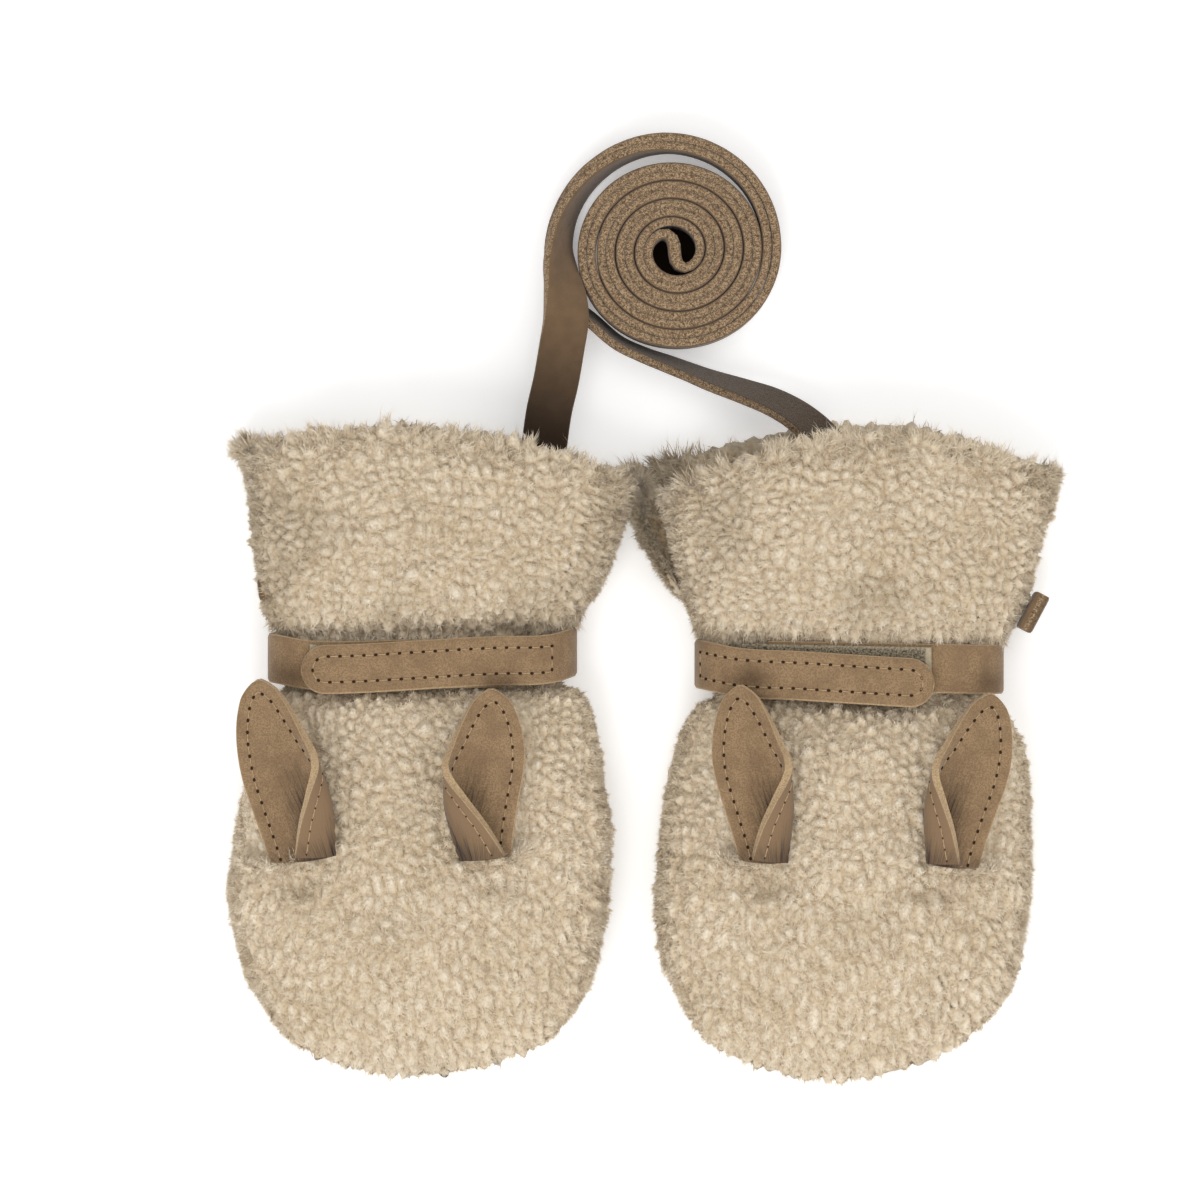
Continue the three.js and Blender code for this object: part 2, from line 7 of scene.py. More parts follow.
import bpy
import numpy as np
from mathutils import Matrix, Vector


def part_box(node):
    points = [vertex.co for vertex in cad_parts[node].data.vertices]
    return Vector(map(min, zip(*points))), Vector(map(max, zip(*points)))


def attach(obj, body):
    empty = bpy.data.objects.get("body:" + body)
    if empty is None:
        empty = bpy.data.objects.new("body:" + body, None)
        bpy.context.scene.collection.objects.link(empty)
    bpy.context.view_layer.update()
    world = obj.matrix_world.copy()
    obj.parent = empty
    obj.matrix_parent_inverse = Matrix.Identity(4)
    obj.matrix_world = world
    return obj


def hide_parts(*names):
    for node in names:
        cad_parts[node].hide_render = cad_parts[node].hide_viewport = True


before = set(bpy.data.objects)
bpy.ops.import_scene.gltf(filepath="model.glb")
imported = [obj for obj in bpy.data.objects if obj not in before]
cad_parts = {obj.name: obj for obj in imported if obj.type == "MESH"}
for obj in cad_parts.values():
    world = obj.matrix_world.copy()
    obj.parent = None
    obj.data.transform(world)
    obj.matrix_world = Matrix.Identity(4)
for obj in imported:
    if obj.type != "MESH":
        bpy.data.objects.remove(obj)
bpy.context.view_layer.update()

Array = np.ndarray
Material = bpy.types.Material
Piece = bpy.types.Object

# Lengths are millimetres in the layout's own frame. SHIFT moves them to the part's frame.
MM = 0.001
SHIFT = np.array([-9.55, 2.536, 0.0])
SEAM_Z = 9.5
FLAT_SHARE = 0.79
DOME_POWER = 2.4

FAR = 9.0
SEAM_STEP = 0.3
CURL_WANDER = 1.2
CORNER_REACH = 14.0
MOUTH_REACH = 5.0
# Pile tone of the skin, and how much paler the curls' tops are: painted shade, darker in the
# hollows between curls.
SKIN_TONE = 0.36
CURL_TONE = 0.58

STRAP_WIDTH = 11.2
STRAP_THICK = 1.9
BELT_HALF_LOOP = 35.0
SKEW_AT_BEND = 0.6
GATHER_REACH = 23.0
CORD_WIDTH = 10.4

# A mitten's sections from mouth to finger end: left edge (x, y), right edge (x, y), bow, heights of
# crown, ceiling and floor, and how far the back stands off the floor.
LEFT_ROWS = (
    (-83.3, 36.3, 9.7, 27.6, 8.3, 23.5, 16.5, 6.8, 0),
    (-82.8, 28.8, 7.8, 21.9, 5.1, 25.5, 16.0, 7.0, 0),
    (-81.7, 17.2, 5.1, 13.8, 2.3, 26.0, 15.5, 7.4, 0),
    (-80.5, 5.8, 1.6, 4.6, 0.7, 25.2, 14.5, 7.4, 0),
    (-79.6, -0.6, -1.4, 0.3, 0, 23.0, 13.2, 7.2, 0),
    (-76.8, -4.6, -4.6, -3.4, 0, 19.2, 13.3, 7.0, 1.0),
    (-74.5, -6.7, -7.5, -5.3, 0, 17.0, 13.2, 6.9, 2.5),
    (-74.5, -19.6, -7.5, -18.2, 0, 17.0, 13.2, 6.9, 2.5),
    (-77.7, -22.3, -2.8, -21.0, 0, 20.0, 13.5, 7.0, 1.0),
    (-81.9, -27.2, 0.2, -25.6, 0, 23.6, 14.2, 7.4, 0),
    (-83.7, -40.2, 2.5, -39.1, 0, 26.3, 16.0, 7.8, 0),
    (-86.0, -55.2, 3.9, -54.7, 0, 27.4, 17.0, 8.0, 0),
    (-87.2, -70.2, 3.7, -70.2, 0, 27.4, 17.0, 8.0, 0),
    (-85.3, -82.8, 1.6, -82.1, -0.7, 26.2, 16.0, 8.2, 0),
    (-82.6, -90.4, -0.7, -89.7, -2.3, 24.4, 14.0, 8.6, 0),
    (-78.7, -96.6, -4.1, -95.5, -5.1, 21.4, 9.65, 9.35, 0.4),
    (-74.8, -100.7, -7.6, -99.4, -7.4, 17.4, 9.65, 9.35, 2.2),
    (-71.3, -103.5, -10.3, -101.7, -9.2, 12.0, 9.65, 9.35, 6.2),
)
RIGHT_CUFF_FRONT = (
    (13.8, 24.8, 105.8, 29.0, 12.4, 24.5, 17.6, 6.6, 0),
    (14.3, 17.2, 105.3, 21.2, 6.9, 25.8, 17.0, 6.8, 0),
    (15.6, 9.2, 102.6, 11.5, 2.8, 26.0, 15.8, 7.2, 0),
)
RIGHT_CUFF_BACK = (
    (9.2, 26.2, 106.3, 29.0, 14.3, 24.5, 17.6, 6.6, 0),
    (8.3, 17.9, 105.3, 21.2, 7.8, 25.8, 17.0, 6.8, 0),
    (12.4, 9.2, 102.8, 11.5, 3.2, 26.0, 15.8, 7.2, 0),
)
RIGHT_HAND = (
    (17.5, 1.2, 101.2, 2.3, 0.7, 25.2, 14.5, 7.4, 0),
    (19.3, -2.6, 98.2, -3.4, 0, 23.0, 13.2, 7.2, 0),
    (21.6, -6.2, 94.8, -7.4, 0, 19.2, 13.3, 7.0, 1.0),
    (24.2, -8.3, 90.9, -9.6, 0, 17.0, 13.2, 6.9, 2.5),
    (24.2, -21.2, 90.9, -22.5, 0, 17.0, 13.2, 6.9, 2.5),
    (20.7, -24.0, 94.3, -25.3, 0, 19.4, 13.5, 7.0, 1.0),
    (17.5, -29.0, 98.0, -29.8, 0, 23.0, 14.2, 7.4, 0),
    (14.3, -40.2, 100.7, -39.1, 0, 26.3, 16.0, 7.8, 0),
    (12.4, -55.2, 101.7, -54.7, 0, 27.4, 17.0, 8.0, 0),
    (11.0, -69.0, 101.2, -69.0, 0, 27.4, 17.0, 8.0, 0),
    (11.5, -80.5, 99.8, -80.5, -0.7, 26.2, 16.0, 8.2, 0),
    (13.8, -88.5, 97.5, -88.1, -2.3, 24.4, 14.0, 8.6, 0),
    (17.5, -95.5, 93.4, -94.8, -5.5, 21.4, 9.65, 9.35, 0.4),
    (20.7, -99.6, 89.2, -98.9, -8.3, 17.4, 9.65, 9.35, 2.2),
    (23.9, -103.0, 85.6, -102.1, -10.3, 12.0, 9.65, 9.35, 6.2),
)

# The wrist strap's middle line: x towards the closing side, height, and its share of the slant.
BELT_PATH = (
    (-14, 21.65, 1), (0, 21.65, 1), (14, 21.65, 1), (20, 21.6, 1),
    (26, 20.6, 0.8), (30.6, 18.0, 0.4), (33.7, 14.0, 0.1), (34.75, 9.5, 0), (33.9, 4.8, 0),
    (31.2, 1.9, 0), (27, 0.95, 0), (13, 0.95, 0), (0, 0.95, 0), (-13, 0.95, 0),
    (-27, 0.95, 0), (-31.2, 1.9, 0), (-33.9, 4.8, 0), (-34.75, 9.5, 0), (-33.7, 13.6, 0),
    (-30.6, 16.5, 0), (-26, 17.9, 0), (-21, 18.25, 0), (-7, 18.25, 0), (6, 18.25, 0),
    (19, 18.25, 0),
)

# Sections of an ear from base to tip: length, then place across and height of the outer edge, the
# cup's bottom, the fold and the edge of the folded part.
EAR_SECTIONS = (
    (0, -6.2, 1.2, 0.5, 0.6, 9.2, 2.2, 1.0, 5.0),
    (7, -7.2, 1.4, 0.6, 0.6, 10.6, 3.0, 4.2, 6.8),
    (13, -8.0, 1.8, 1.0, 0.8, 10.8, 3.9, 7.6, 7.9),
    (20, -8.7, 2.3, 1.0, 1.2, 9.2, 3.7, 10.6, 7.2),
    (27, -8.4, 2.8, 0.4, 2.0, 5.6, 3.0, 8.4, 4.9),
    (33, -7.2, 3.2, -0.3, 2.6, 3.6, 3.2, 6.2, 4.0),
    (38, -5.2, 3.4, -0.7, 3.0, 1.8, 3.2, 3.9, 3.5),
    (41.4, -3.4, 3.4, -1.2, 3.2, 1.2, 3.3, 2.1, 3.4),
)

# The joining strap: its heart, where it leaves the coil (turn, height, lean) and its free runs
# (x, y, height, lean).
COIL_CENTRE = (17.2, 80.7)
LAYER_PITCH = 2.2
FIRST_RADIUS = 6.0
FIRST_TURN = 168.0
COIL_SQUASH = 0.05
SLACK = 3.0
COIL_HEART = ((0, 0), (-0.15, 1.6), (-0.9, 3.2), (-2.3, 4.0), (-3.9, 3.5), (-5.1, 2.3))
LEFT_LEAVING = (
    (1530, 5.2, 0), (1560, 5.4, 6), (1590.8, 6.2, 15), (1606, 8.4, 21), (1620, 10.9, 28),
)
LEFT_FREE = (
    (-9.2, 77.2, 11.7, 38), (-8.6, 73.6, 12.9, 46), (-7.9, 69.0, 13.6, 64),
    (-7.8, 64.4, 13.5, 76), (-8.7, 58.7, 12.9, 84), (-10.1, 50.6, 12.0, 88),
    (-11.7, 43.7, 11.1, 90), (-12.7, 36.8, 10.1, 90), (-13.3, 30.0, 9.0, 90),
    (-13.8, 22.0, 8.3, 90),
)
RIGHT_LEAVING = ((1935.8, 5.2, 0), (1960, 5.2, 0), (1980, 5.26, 3))
RIGHT_FREE = (
    (-10.9, 76.0, 5.3, 9), (-8.8, 71.3, 5.3, 12), (-5.8, 67.8, 5.3, 12), (-2.1, 64.9, 5.3, 12),
    (4.0, 59.7, 5.3, 12), (10.0, 56.8, 5.3, 13), (16.1, 54.5, 5.3, 16), (20.8, 52.7, 5.5, 18),
    (25.3, 50.9, 6.0, 21), (33.7, 48.0, 7.9, 27), (40.3, 45.4, 10.0, 33), (46.5, 41.6, 11.8, 39),
    (51.5, 36.6, 12.4, 48), (54.8, 30.5, 11.9, 62), (56.6, 24.0, 11.0, 75),
)


class Slot(Enum):
    """Names of the record's material slots."""

    FLEECE = "fleece"
    LEATHER = "leather"
    SUEDE = "suede"
    TAPE = "closure_tape"


class Face(Enum):
    """Which panel of a mitten a form belongs to."""

    FRONT = "front"
    BACK = "back"


class Layer(Enum):
    """Layers of soft random lumps in the fleece: the size in millimetres and the seed's offset."""

    WANDER_ACROSS = (6.0, 11)
    WANDER_ALONG = (6.0, 12)
    FINE = (0.8, 20)
    SOFT = (13.0, 21)
    TUFTS = (5.0, 22)
    LENGTH = (3.4, 23)
    MIDDLING = (1.7, 24)
    GAPS = (3.4, 26)
    STIR_X = (2.6, 27)
    STIR_Y = (2.6, 28)
    STIR_Z = (2.6, 29)
    PATCHES = (15.0, 30)
    SOIL_AND_SHADE = (2.2, 31)


# Sums on numbers


def smooth(value: Array) -> Array:
    """Ease a share from 0 to 1, held outside that range."""
    held = np.clip(value, 0.0, 1.0)
    return held * held * (3.0 - 2.0 * held)


def unit(vectors: Array) -> Array:
    """Scale each row of vectors to length one."""
    length = np.linalg.norm(vectors, axis=-1, keepdims=True)
    return vectors / np.maximum(length, 1e-9)


def scramble(keys: tuple[Array, ...], seed: int) -> Array:
    """Give each set of whole numbers its own steady value from 0 to 1.

    Args:
        keys: Arrays of whole numbers.
        seed: Picks one of many scrambles.

    Returns:
        Values from 0 to 1.
    """
    mixed = np.full(np.shape(keys[0]), seed * 7919 + 101, dtype=np.int64)
    for key, prime in zip(keys, (73856093, 19349663, 83492791)):
        mixed = mixed ^ (np.asarray(key, dtype=np.int64) * prime)
    mixed = ((mixed ^ (mixed >> 13)) * 1274126177) & 0x7FFFFFFF
    return ((mixed ^ (mixed >> 15)) & 0xFFFF) / 65535.0


def lumps(points: Array, size: float, seed: int) -> Array:
    """Soft random lumps in space.

    Args:
        points: Places, one row each.
        size: Size of a lump.
        seed: Picks the pattern.

    Returns:
        A value from 0 to 1 at each place.
    """
    cells = points / size
    base = np.floor(cells).astype(np.int64)
    weight = smooth(cells - base)
    total = np.zeros(len(points))
    for corner in np.ndindex(*(2,) * points.shape[1]):
        step = np.array(corner)
        share = np.prod(np.where(step, weight, 1.0 - weight), axis=1)
        total += share * scramble(tuple((base + step).T), seed)
    return total


def cubic(here: Array, after: Array, start: Array, end: Array, part: Array) -> Array:
    """Run from one value to the next on a cubic curve with given slopes at its two ends."""
    return ((2 * here - 2 * after + start + end) * part**3
            + (3 * after - 3 * here - 2 * start - end) * part**2 + start * part + here)


def even_spline(table: Array, places: Array) -> Array:
    """Read rows of a table at places between them, on a smooth curve.

    Args:
        table: Rows of values.
        places: Row numbers with fractions.

    Returns:
        A row of values for each place.
    """
    last = len(table) - 1
    index = np.clip(np.floor(places).astype(int), 0, last - 1)
    part = (places - index)[:, None]
    before, here = table[np.maximum(index - 1, 0)], table[index]
    after, beyond = table[index + 1], table[np.minimum(index + 2, last)]
    return cubic(here, after, (after - before) / 2, (beyond - here) / 2, part)


def rounded_line(points: Array, step: float) -> Array:
    """Run a smooth line through points and divide it evenly.

    Args:
        points: The points, with any further values in their last columns.
        step: Distance between the line's new points, measured on the first three columns.

    Returns:
        The line's points.
    """
    first, last = 2 * points[0] - points[1], 2 * points[-1] - points[-2]
    held = np.vstack([first, points, last])
    spans = np.maximum(np.linalg.norm(np.diff(held[:, :3], axis=0), axis=1), 1e-4) ** 0.5
    fine = []
    parts = np.linspace(0, 1, 25)[:-1, None]
    for index in range(1, len(held) - 2):
        a, b, c, d = held[index - 1:index + 3]
        before, here, after = spans[index - 1:index + 2]
        start = ((b - a) / before - (c - a) / (before + here) + (c - b) / here) * here
        end = ((c - b) / here - (d - b) / (here + after) + (d - c) / after) * here
        fine.append(cubic(b, c, start, end, parts))
    line = np.vstack(fine + [points[-1:]])
    return divide(line, step)


def reach_of(line: Array) -> Array:
    """Length travelled along a line at each of its points."""
    return np.concatenate([[0.0], np.cumsum(np.linalg.norm(np.diff(line, axis=0), axis=1))])


def read_at(places: Array | float, reach: Array, table: Array) -> Array:
    """Read every column of a table at places along a line."""
    return np.stack([np.interp(places, reach, column) for column in table.T], axis=-1)


def bell(distance: Array, reach: float, power: int = 2) -> Array:
    """Share that falls from 1 to 0 over a distance, on a bell curve."""
    return np.exp(-((distance / reach) ** power))


def spot(x: Array, y: Array, centre: tuple[float, float], size: tuple[float, float]) -> Array:
    """Share that falls from 1 to 0 round a spot, whose size is its reach across and along."""
    return np.exp(-(((x - centre[0]) / size[0]) ** 2 + ((y - centre[1]) / size[1]) ** 2))


def rounded(from_edge: Array, reach: float, least: float) -> Array:
    """Share of the full thickness that is left near a cut edge."""
    return np.clip(np.sqrt(np.clip(from_edge / reach, 0.0, 1.0)), least, 1.0)


def divide(line: Array, step: float) -> Array:
    """Divide a line of closely spaced points into even steps, its ends among them."""
    reach = reach_of(line[:, :3])
    count = max(2, int(round(reach[-1] / step)) + 1)
    return read_at(np.linspace(0.0, reach[-1], count), reach, line)


def tangents(line: Array) -> Array:
    """Give the direction of travel at each point of a line."""
    return unit(np.gradient(line, axis=0))


# Meshes


@dataclass
class Shape:
    """Collects the points and faces of one piece, in millimetres."""

    points: list[Array] = field(default_factory=list)
    quads: list[Array] = field(default_factory=list)
    tris: list[Array] = field(default_factory=list)
    quad_looks: list[Array] = field(default_factory=list)
    tri_looks: list[Array] = field(default_factory=list)
    marks: dict[str, list[Array]] = field(default_factory=dict)
    count: int = 0

    def add(
        self,
        points: Array,
        quads: Array | None = None,
        tris: Array | None = None,
        look: int = 0,
        **marks: Array | float,
    ) -> int:
        """Add points, with the faces and marks that belong to them.

        Args:
            points: Places of the new points.
            quads: Faces with four corners, numbered from the first new point.
            tris: Faces with three corners, numbered likewise.
            look: Which of the piece's materials the faces take.
            marks: Values kept on the points, one each or one for all.

        Returns:
            The number of the first new point.
        """
        flat = np.asarray(points, dtype=float).reshape(-1, 3)
        start = self.count
        self.points.append(flat)
        self.join(quads, tris, look, start)
        for name in set(self.marks) | set(marks):
            held = self.marks.setdefault(name, [np.zeros(start)] if start else [])
            value = np.asarray(marks.get(name, 0.0), dtype=float).reshape(-1)
            held.append(np.broadcast_to(value, (len(flat),)))
        self.count += len(flat)
        return start

    def join(self, quads: Array | None, tris: Array | None = None, look: int = 0,
             start: int = 0) -> None:
        """Add faces alone, numbered from a first point on."""
        for faces, held, looks in (
            (quads, self.quads, self.quad_looks), (tris, self.tris, self.tri_looks),
        ):
            if faces is not None and len(faces):
                held.append(np.asarray(faces) + start)
                looks.append(np.full(len(faces), look))

    def piece(self, name: str, looks: list[Material],
              crisp: bool = False) -> Piece:
        """Make the Blender object.

        Args:
            name: The object's name.
            looks: Its materials.
            crisp: Whether its cut edges are shaded sharp.

        Returns:
            The new object, with its place in its mesh.
        """
        points = (np.vstack(self.points) + SHIFT) * MM
        quads = np.vstack(self.quads) if self.quads else np.zeros((0, 4), int)
        tris = np.vstack(self.tris) if self.tris else np.zeros((0, 3), int)
        looks_of = np.concatenate(self.quad_looks + self.tri_looks)
        mesh = bpy.data.meshes.new(name)
        mesh.vertices.add(len(points))
        mesh.vertices.foreach_set("co", points.astype(np.float32).ravel())
        corners = np.concatenate([quads.ravel(), tris.ravel()]).astype(np.int32)
        mesh.loops.add(len(corners))
        mesh.loops.foreach_set("vertex_index", corners)
        mesh.polygons.add(len(quads) + len(tris))
        starts = np.concatenate([
            np.arange(len(quads)) * 4, len(quads) * 4 + np.arange(len(tris)) * 3,
        ])
        mesh.polygons.foreach_set("loop_start", starts.astype(np.int32))
        mesh.polygons.foreach_set("material_index", looks_of.astype(np.int32))
        mesh.polygons.foreach_set("use_smooth", np.ones(len(starts), bool))
        for mark, parts in self.marks.items():
            layer = mesh.attributes.new(mark, "FLOAT", "POINT")
            layer.data.foreach_set("value", np.concatenate(parts).astype(np.float32))
        mesh.update(calc_edges=True)
        mesh.validate()
        if crisp:
            mesh.set_sharp_from_angle(angle=math.radians(48))
        for look in looks:
            mesh.materials.append(look)
        made = bpy.data.objects.new(name, mesh)
        bpy.context.scene.collection.objects.link(made)
        return made


def grid_faces(rows: int, columns: int, flip: bool = False) -> Array:
    """List the faces of a grid of points.

    Args:
        rows: Number of rows.
        columns: Number of columns.
        flip: Whether to turn the faces round.

    Returns:
        Faces with four corners each.
    """
    number = np.arange(rows * columns).reshape(rows, columns)
    corners = [number[:-1, :-1], number[1:, :-1], number[1:, 1:], number[:-1, 1:]]
    faces = np.stack([corner.ravel() for corner in corners], axis=1)
    return faces[:, ::-1] if flip else faces


def rim_of(rows: int, columns: int) -> Array:
    """Number the points round a grid's border, in order, as rows and columns."""
    top = [(0, column) for column in range(columns)]
    right = [(row, columns - 1) for row in range(1, rows)]
    bottom = [(rows - 1, column) for column in range(columns - 2, -1, -1)]
    left = [(row, 0) for row in range(rows - 2, 0, -1)]
    return np.array(top + right + bottom + left)


def sandwich(shape: Shape, upper: Array, lower: Array, bulge: float, **marks: Array) -> None:
    """Add a closed sheet between two grids, with a line round the middle of its edge.

    Args:
        shape: Takes the sheet.
        upper: Points of the side whose faces look up where rows run down and columns run right.
        lower: Points of the other side.
        bulge: How far the edge's middle stands out, or is drawn in where it is below zero.
        marks: Values on the upper grid's points, which the lower grid's points share.
    """
    rows, columns = upper.shape[:2]
    flags = {name: np.asarray(value, dtype=float).reshape(rows, columns)
             for name, value in marks.items()}
    flags.setdefault("edge", np.zeros((rows, columns)))
    flat = {name: value.ravel() for name, value in flags.items()}
    first = shape.add(upper, grid_faces(rows, columns), under=0.0, **flat)
    second = shape.add(lower, grid_faces(rows, columns, flip=True), under=1.0, **flat)
    rim = rim_of(rows, columns)
    inward = np.clip(rim, 1, [rows - 2, columns - 2]) if rows > 2 else rim
    middle = (upper + lower) / 2
    here = middle[rim[:, 0], rim[:, 1]]
    outward = unit(here - middle[inward[:, 0], inward[:, 1]])
    around = {name: value[rim[:, 0], rim[:, 1]] for name, value in flags.items()}
    around["edge"] = np.ones(len(rim))
    third = shape.add(here + outward * bulge, under=0.5, **around)
    turn = np.arange(len(rim))
    ahead = np.roll(turn, -1)
    number = rim[:, 0] * columns + rim[:, 1]
    high, low, mid = number + first, number + second, turn + third
    shape.join(np.vstack([
        np.stack([above[turn], above[ahead], below[ahead], below[turn]], axis=1)
        for above, below in ((high, mid), (mid, low))
    ]))


# Materials


class Wire:
    """A shader socket that Python expressions can use."""

    def __init__(self, board: "Board", socket: bpy.types.NodeSocket) -> None:
        """Hold a socket and the board that it is on."""
        self.board = board
        self.socket = socket

    def _sum(self, operation: str, *values: "Wire | float") -> "Wire":
        """Add one Math node."""
        return self.board.node("ShaderNodeMath", {"operation": operation}, list(values))

    def __add__(self, other: "Wire | float") -> "Wire":
        """Add a value."""
        return self._sum("ADD", self, other)

    __radd__ = __add__

    def __sub__(self, other: "Wire | float") -> "Wire":
        """Take a value away."""
        return self._sum("SUBTRACT", self, other)

    def __rsub__(self, other: "Wire | float") -> "Wire":
        """Take this value away from another."""
        return self._sum("SUBTRACT", other, self)

    def __mul__(self, other: "Wire | float") -> "Wire":
        """Multiply by a value."""
        return self._sum("MULTIPLY", self, other)

    __rmul__ = __mul__

    def between(self, low: float, high: float) -> "Wire":
        """Stretch the range from low to high over 0 to 1, held outside it."""
        return self.board.node(
            "ShaderNodeMapRange",
            {"interpolation_type": "SMOOTHSTEP"},
            {"Value": self, "From Min": low, "From Max": high},
        )


class Board:
    """One material's nodes."""

    def __init__(self, name: str) -> None:
        """Start a material that holds one Principled shader."""
        self.material = bpy.data.materials.new(name)
        self.material.use_nodes = True
        self.tree = self.material.node_tree
        self.shader = self.tree.nodes["Principled BSDF"]

    def node(
        self,
        kind: str,
        settings: dict[str, object],
        values: "list[Wire | float] | dict[str, object]",
        output: str | int = 0,
    ) -> Wire:
        """Add a node.

        Args:
            kind: The node's type.
            settings: Its settings, which are set before its sockets.
            values: Values or wires for its sockets, in order or by name.
            output: Which of its outputs to give back.

        Returns:
            The output as a wire.
        """
        made = self.tree.nodes.new(kind)
        for key, value in settings.items():
            setattr(made, key, value)
        pairs = enumerate(values) if isinstance(values, list) else values.items()
        for key, value in pairs:
            self.join(made.inputs[key], value)
        return Wire(self, made.outputs[output])

    def join(self, socket: bpy.types.NodeSocket, value: object) -> None:
        """Link a wire to a socket, or set the socket's own value."""
        if isinstance(value, Wire):
            self.tree.links.new(value.socket, socket)
        else:
            socket.default_value = value

    def colour(self, share: Wire | float, first: object, second: object,
               way: str = "MIX") -> Wire:
        """Mix two colours.

        Args:
            share: How much of the second colour.
            first: A colour or a wire.
            second: A colour or a wire.
            way: How the second colour meets the first.

        Returns:
            The mixed colour.
        """
        made = self.tree.nodes.new("ShaderNodeMix")
        made.data_type = "RGBA"
        made.blend_type = way
        for index, value in ((0, share), (6, first), (7, second)):
            self.join(made.inputs[index], value)
        return Wire(self, made.outputs[2])

    def mark(self, name: str) -> Wire:
        """Read a value that the mesh keeps on its points."""
        return self.node("ShaderNodeAttribute", {"attribute_name": name}, {}, "Fac")

    def place(self) -> Wire:
        """Read the place on the piece, in metres."""
        return self.node("ShaderNodeTexCoord", {}, {}, "Object")

    def grain(self, size: float, detail: float = 3.0,
              stretch: tuple[float, ...] = (1, 1, 1)) -> Wire:
        """Random grain.

        Args:
            size: Size of a grain in millimetres.
            detail: Number of finer layers.
            stretch: How much finer the grain is along each direction.

        Returns:
            A value from 0 to 1.
        """
        scale = self.node(
            "ShaderNodeVectorMath", {"operation": "MULTIPLY"}, [self.place(), stretch])
        values = {"Vector": scale, "Scale": 1.0 / (size * MM), "Detail": detail}
        return self.node("ShaderNodeTexNoise", {}, values)

    def nubs(self, size: float) -> Wire:
        """Rounded nubs of a size in millimetres, as the distance from each one's middle."""
        return self.node(
            "ShaderNodeTexVoronoi", {}, {"Vector": self.place(), "Scale": 1.0 / (size * MM)},
            "Distance")

    def relief(self, height: Wire, depth: float) -> Wire:
        """Turn a height from 0 to 1 into a normal; depth is what 1 stands for in millimetres."""
        return self.node(
            "ShaderNodeBump", {}, {"Strength": 1.0, "Distance": depth * MM, "Height": height})

    def finish(self, colour: Wire, roughness: Wire | float, normal: Wire | None,
               fixed: dict[str, object]) -> Material:
        """Join the shader's sockets.

        Args:
            colour: Base colour.
            roughness: Roughness.
            normal: Normal, or None for the mesh's own.
            fixed: Values that are the same all over, by the socket's name.

        Returns:
            The material.
        """
        self.join(self.shader.inputs["Base Color"], colour)
        self.join(self.shader.inputs["Roughness"], roughness)
        if normal is not None:
            self.join(self.shader.inputs["Normal"], normal)
        for name, value in fixed.items():
            self.shader.inputs[name].default_value = value
        return self.material


def paint(red: int, green: int, blue: int) -> tuple[float, float, float, float]:
    """Turn a colour as seen, in steps of 255, into the shader's own measure."""
    shares = [value / 255.0 for value in (red, green, blue)]
    linear = [value / 12.92 if value < 0.04045 else ((value + 0.055) / 1.055) ** 2.4
              for value in shares]
    return (linear[0], linear[1], linear[2], 1.0)


@dataclass(frozen=True)
class FleeceFinish:
    """Cream shearling in uneven warm and cool patches, with painted shade: dark at the roots and
    between curls, pale at the tips.
    """

    tip: tuple = paint(242, 232, 214)
    middle: tuple = paint(222, 206, 180)
    root: tuple = paint(176, 149, 112)
    cool: tuple = paint(226, 219, 205)
    soil_and_shade_tint: tuple = paint(158, 146, 124)
    patch: float = 16.0

    def make(self, name: str) -> Material:
        """Build the material."""
        board = Board(name)
        nub = board.nubs(1.2).between(0.2, 0.8)
        # Painted shade: the pile mark runs from dark roots and creases to pale curl tops, and each
        # nub is painted darker towards its rim.
        pile = board.mark("pile") - 0.14 * nub
        tuft = board.mark("tuft")
        low = board.colour(pile.between(0.0, 0.5), self.root, self.middle)
        full = board.colour(pile.between(0.4, 1.0), low, self.tip)
        drift = board.grain(self.patch, 2.0).between(0.35, 0.75) * 0.35
        patched = board.colour(drift, full, self.cool, "MULTIPLY")
        toned = board.colour(tuft * 0.22, patched, self.middle, "MULTIPLY")
        # The grey mark: partly soil, partly painted shade beside the strap, in the dimples and
        # inside the lining.
        tinted = board.colour(board.mark("soil"), toned, self.soil_and_shade_tint, "MULTIPLY")
        fibre = board.grain(0.35, 2.0, (1.0, 0.45, 1.0))
        return board.finish(
            tinted, 0.95, board.relief(0.45 * fibre - 0.6 * nub, 0.4),
            {"Specular IOR Level": 0.15, "Sheen Weight": 0.25, "Sheen Roughness": 0.6},
        )


@dataclass(frozen=True)
class LeatherFinish:
    """Matte tan nubuck with a paler cut edge."""

    face: tuple = paint(152, 125, 93)
    dark: tuple = paint(116, 92, 66)
    pale: tuple = paint(186, 160, 124)
    flesh: tuple = paint(130, 105, 78)
    shade: tuple = paint(92, 68, 46)

    def make(self, name: str) -> Material:
        """Build the material."""
        board = Board(name)
        mottle = board.grain(4.0, 4.0).between(0.35, 0.68)
        nap = board.grain(0.36, 3.0)
        face = board.colour(mottle * 0.5, self.face, self.dark)
        darkened = board.colour(nap.between(0.4, 0.62) * 0.7, face, self.dark)
        turned = board.colour(board.mark("under").between(0.6, 0.9), darkened, self.flesh)
        cut = board.colour(board.grain(0.3, 2.0).between(0.35, 0.7), self.pale, self.face)
        edged = board.colour(board.mark("edge").between(0.45, 0.9), turned, cut)
        fan = board.node("ShaderNodeCombineXYZ", {}, [board.mark("fan"), board.mark("reach"), 0.0])
        wave = board.node("ShaderNodeTexNoise", {}, {"Vector": fan, "Scale": 1.0, "Detail": 2.0})
        # Painted shade from the shade mark: in the ear cups and at their bases and where ear tips
        # shade the strap, with darker crease lines.
        crease = wave.between(0.5, 0.62)
        dim = board.mark("shade") * (0.7 + 0.6 * crease)
        shaded = board.colour(dim, edged, self.shade, "MULTIPLY")
        height = nap * 0.45 + board.grain(1.6, 3.0) * 0.25 - 2.2 * board.mark("shade") * crease
        return board.finish(
            shaded, 0.86, board.relief(height, 0.22),
            {"Specular IOR Level": 0.3, "Sheen Weight": 0.15, "Sheen Roughness": 0.5},
        )


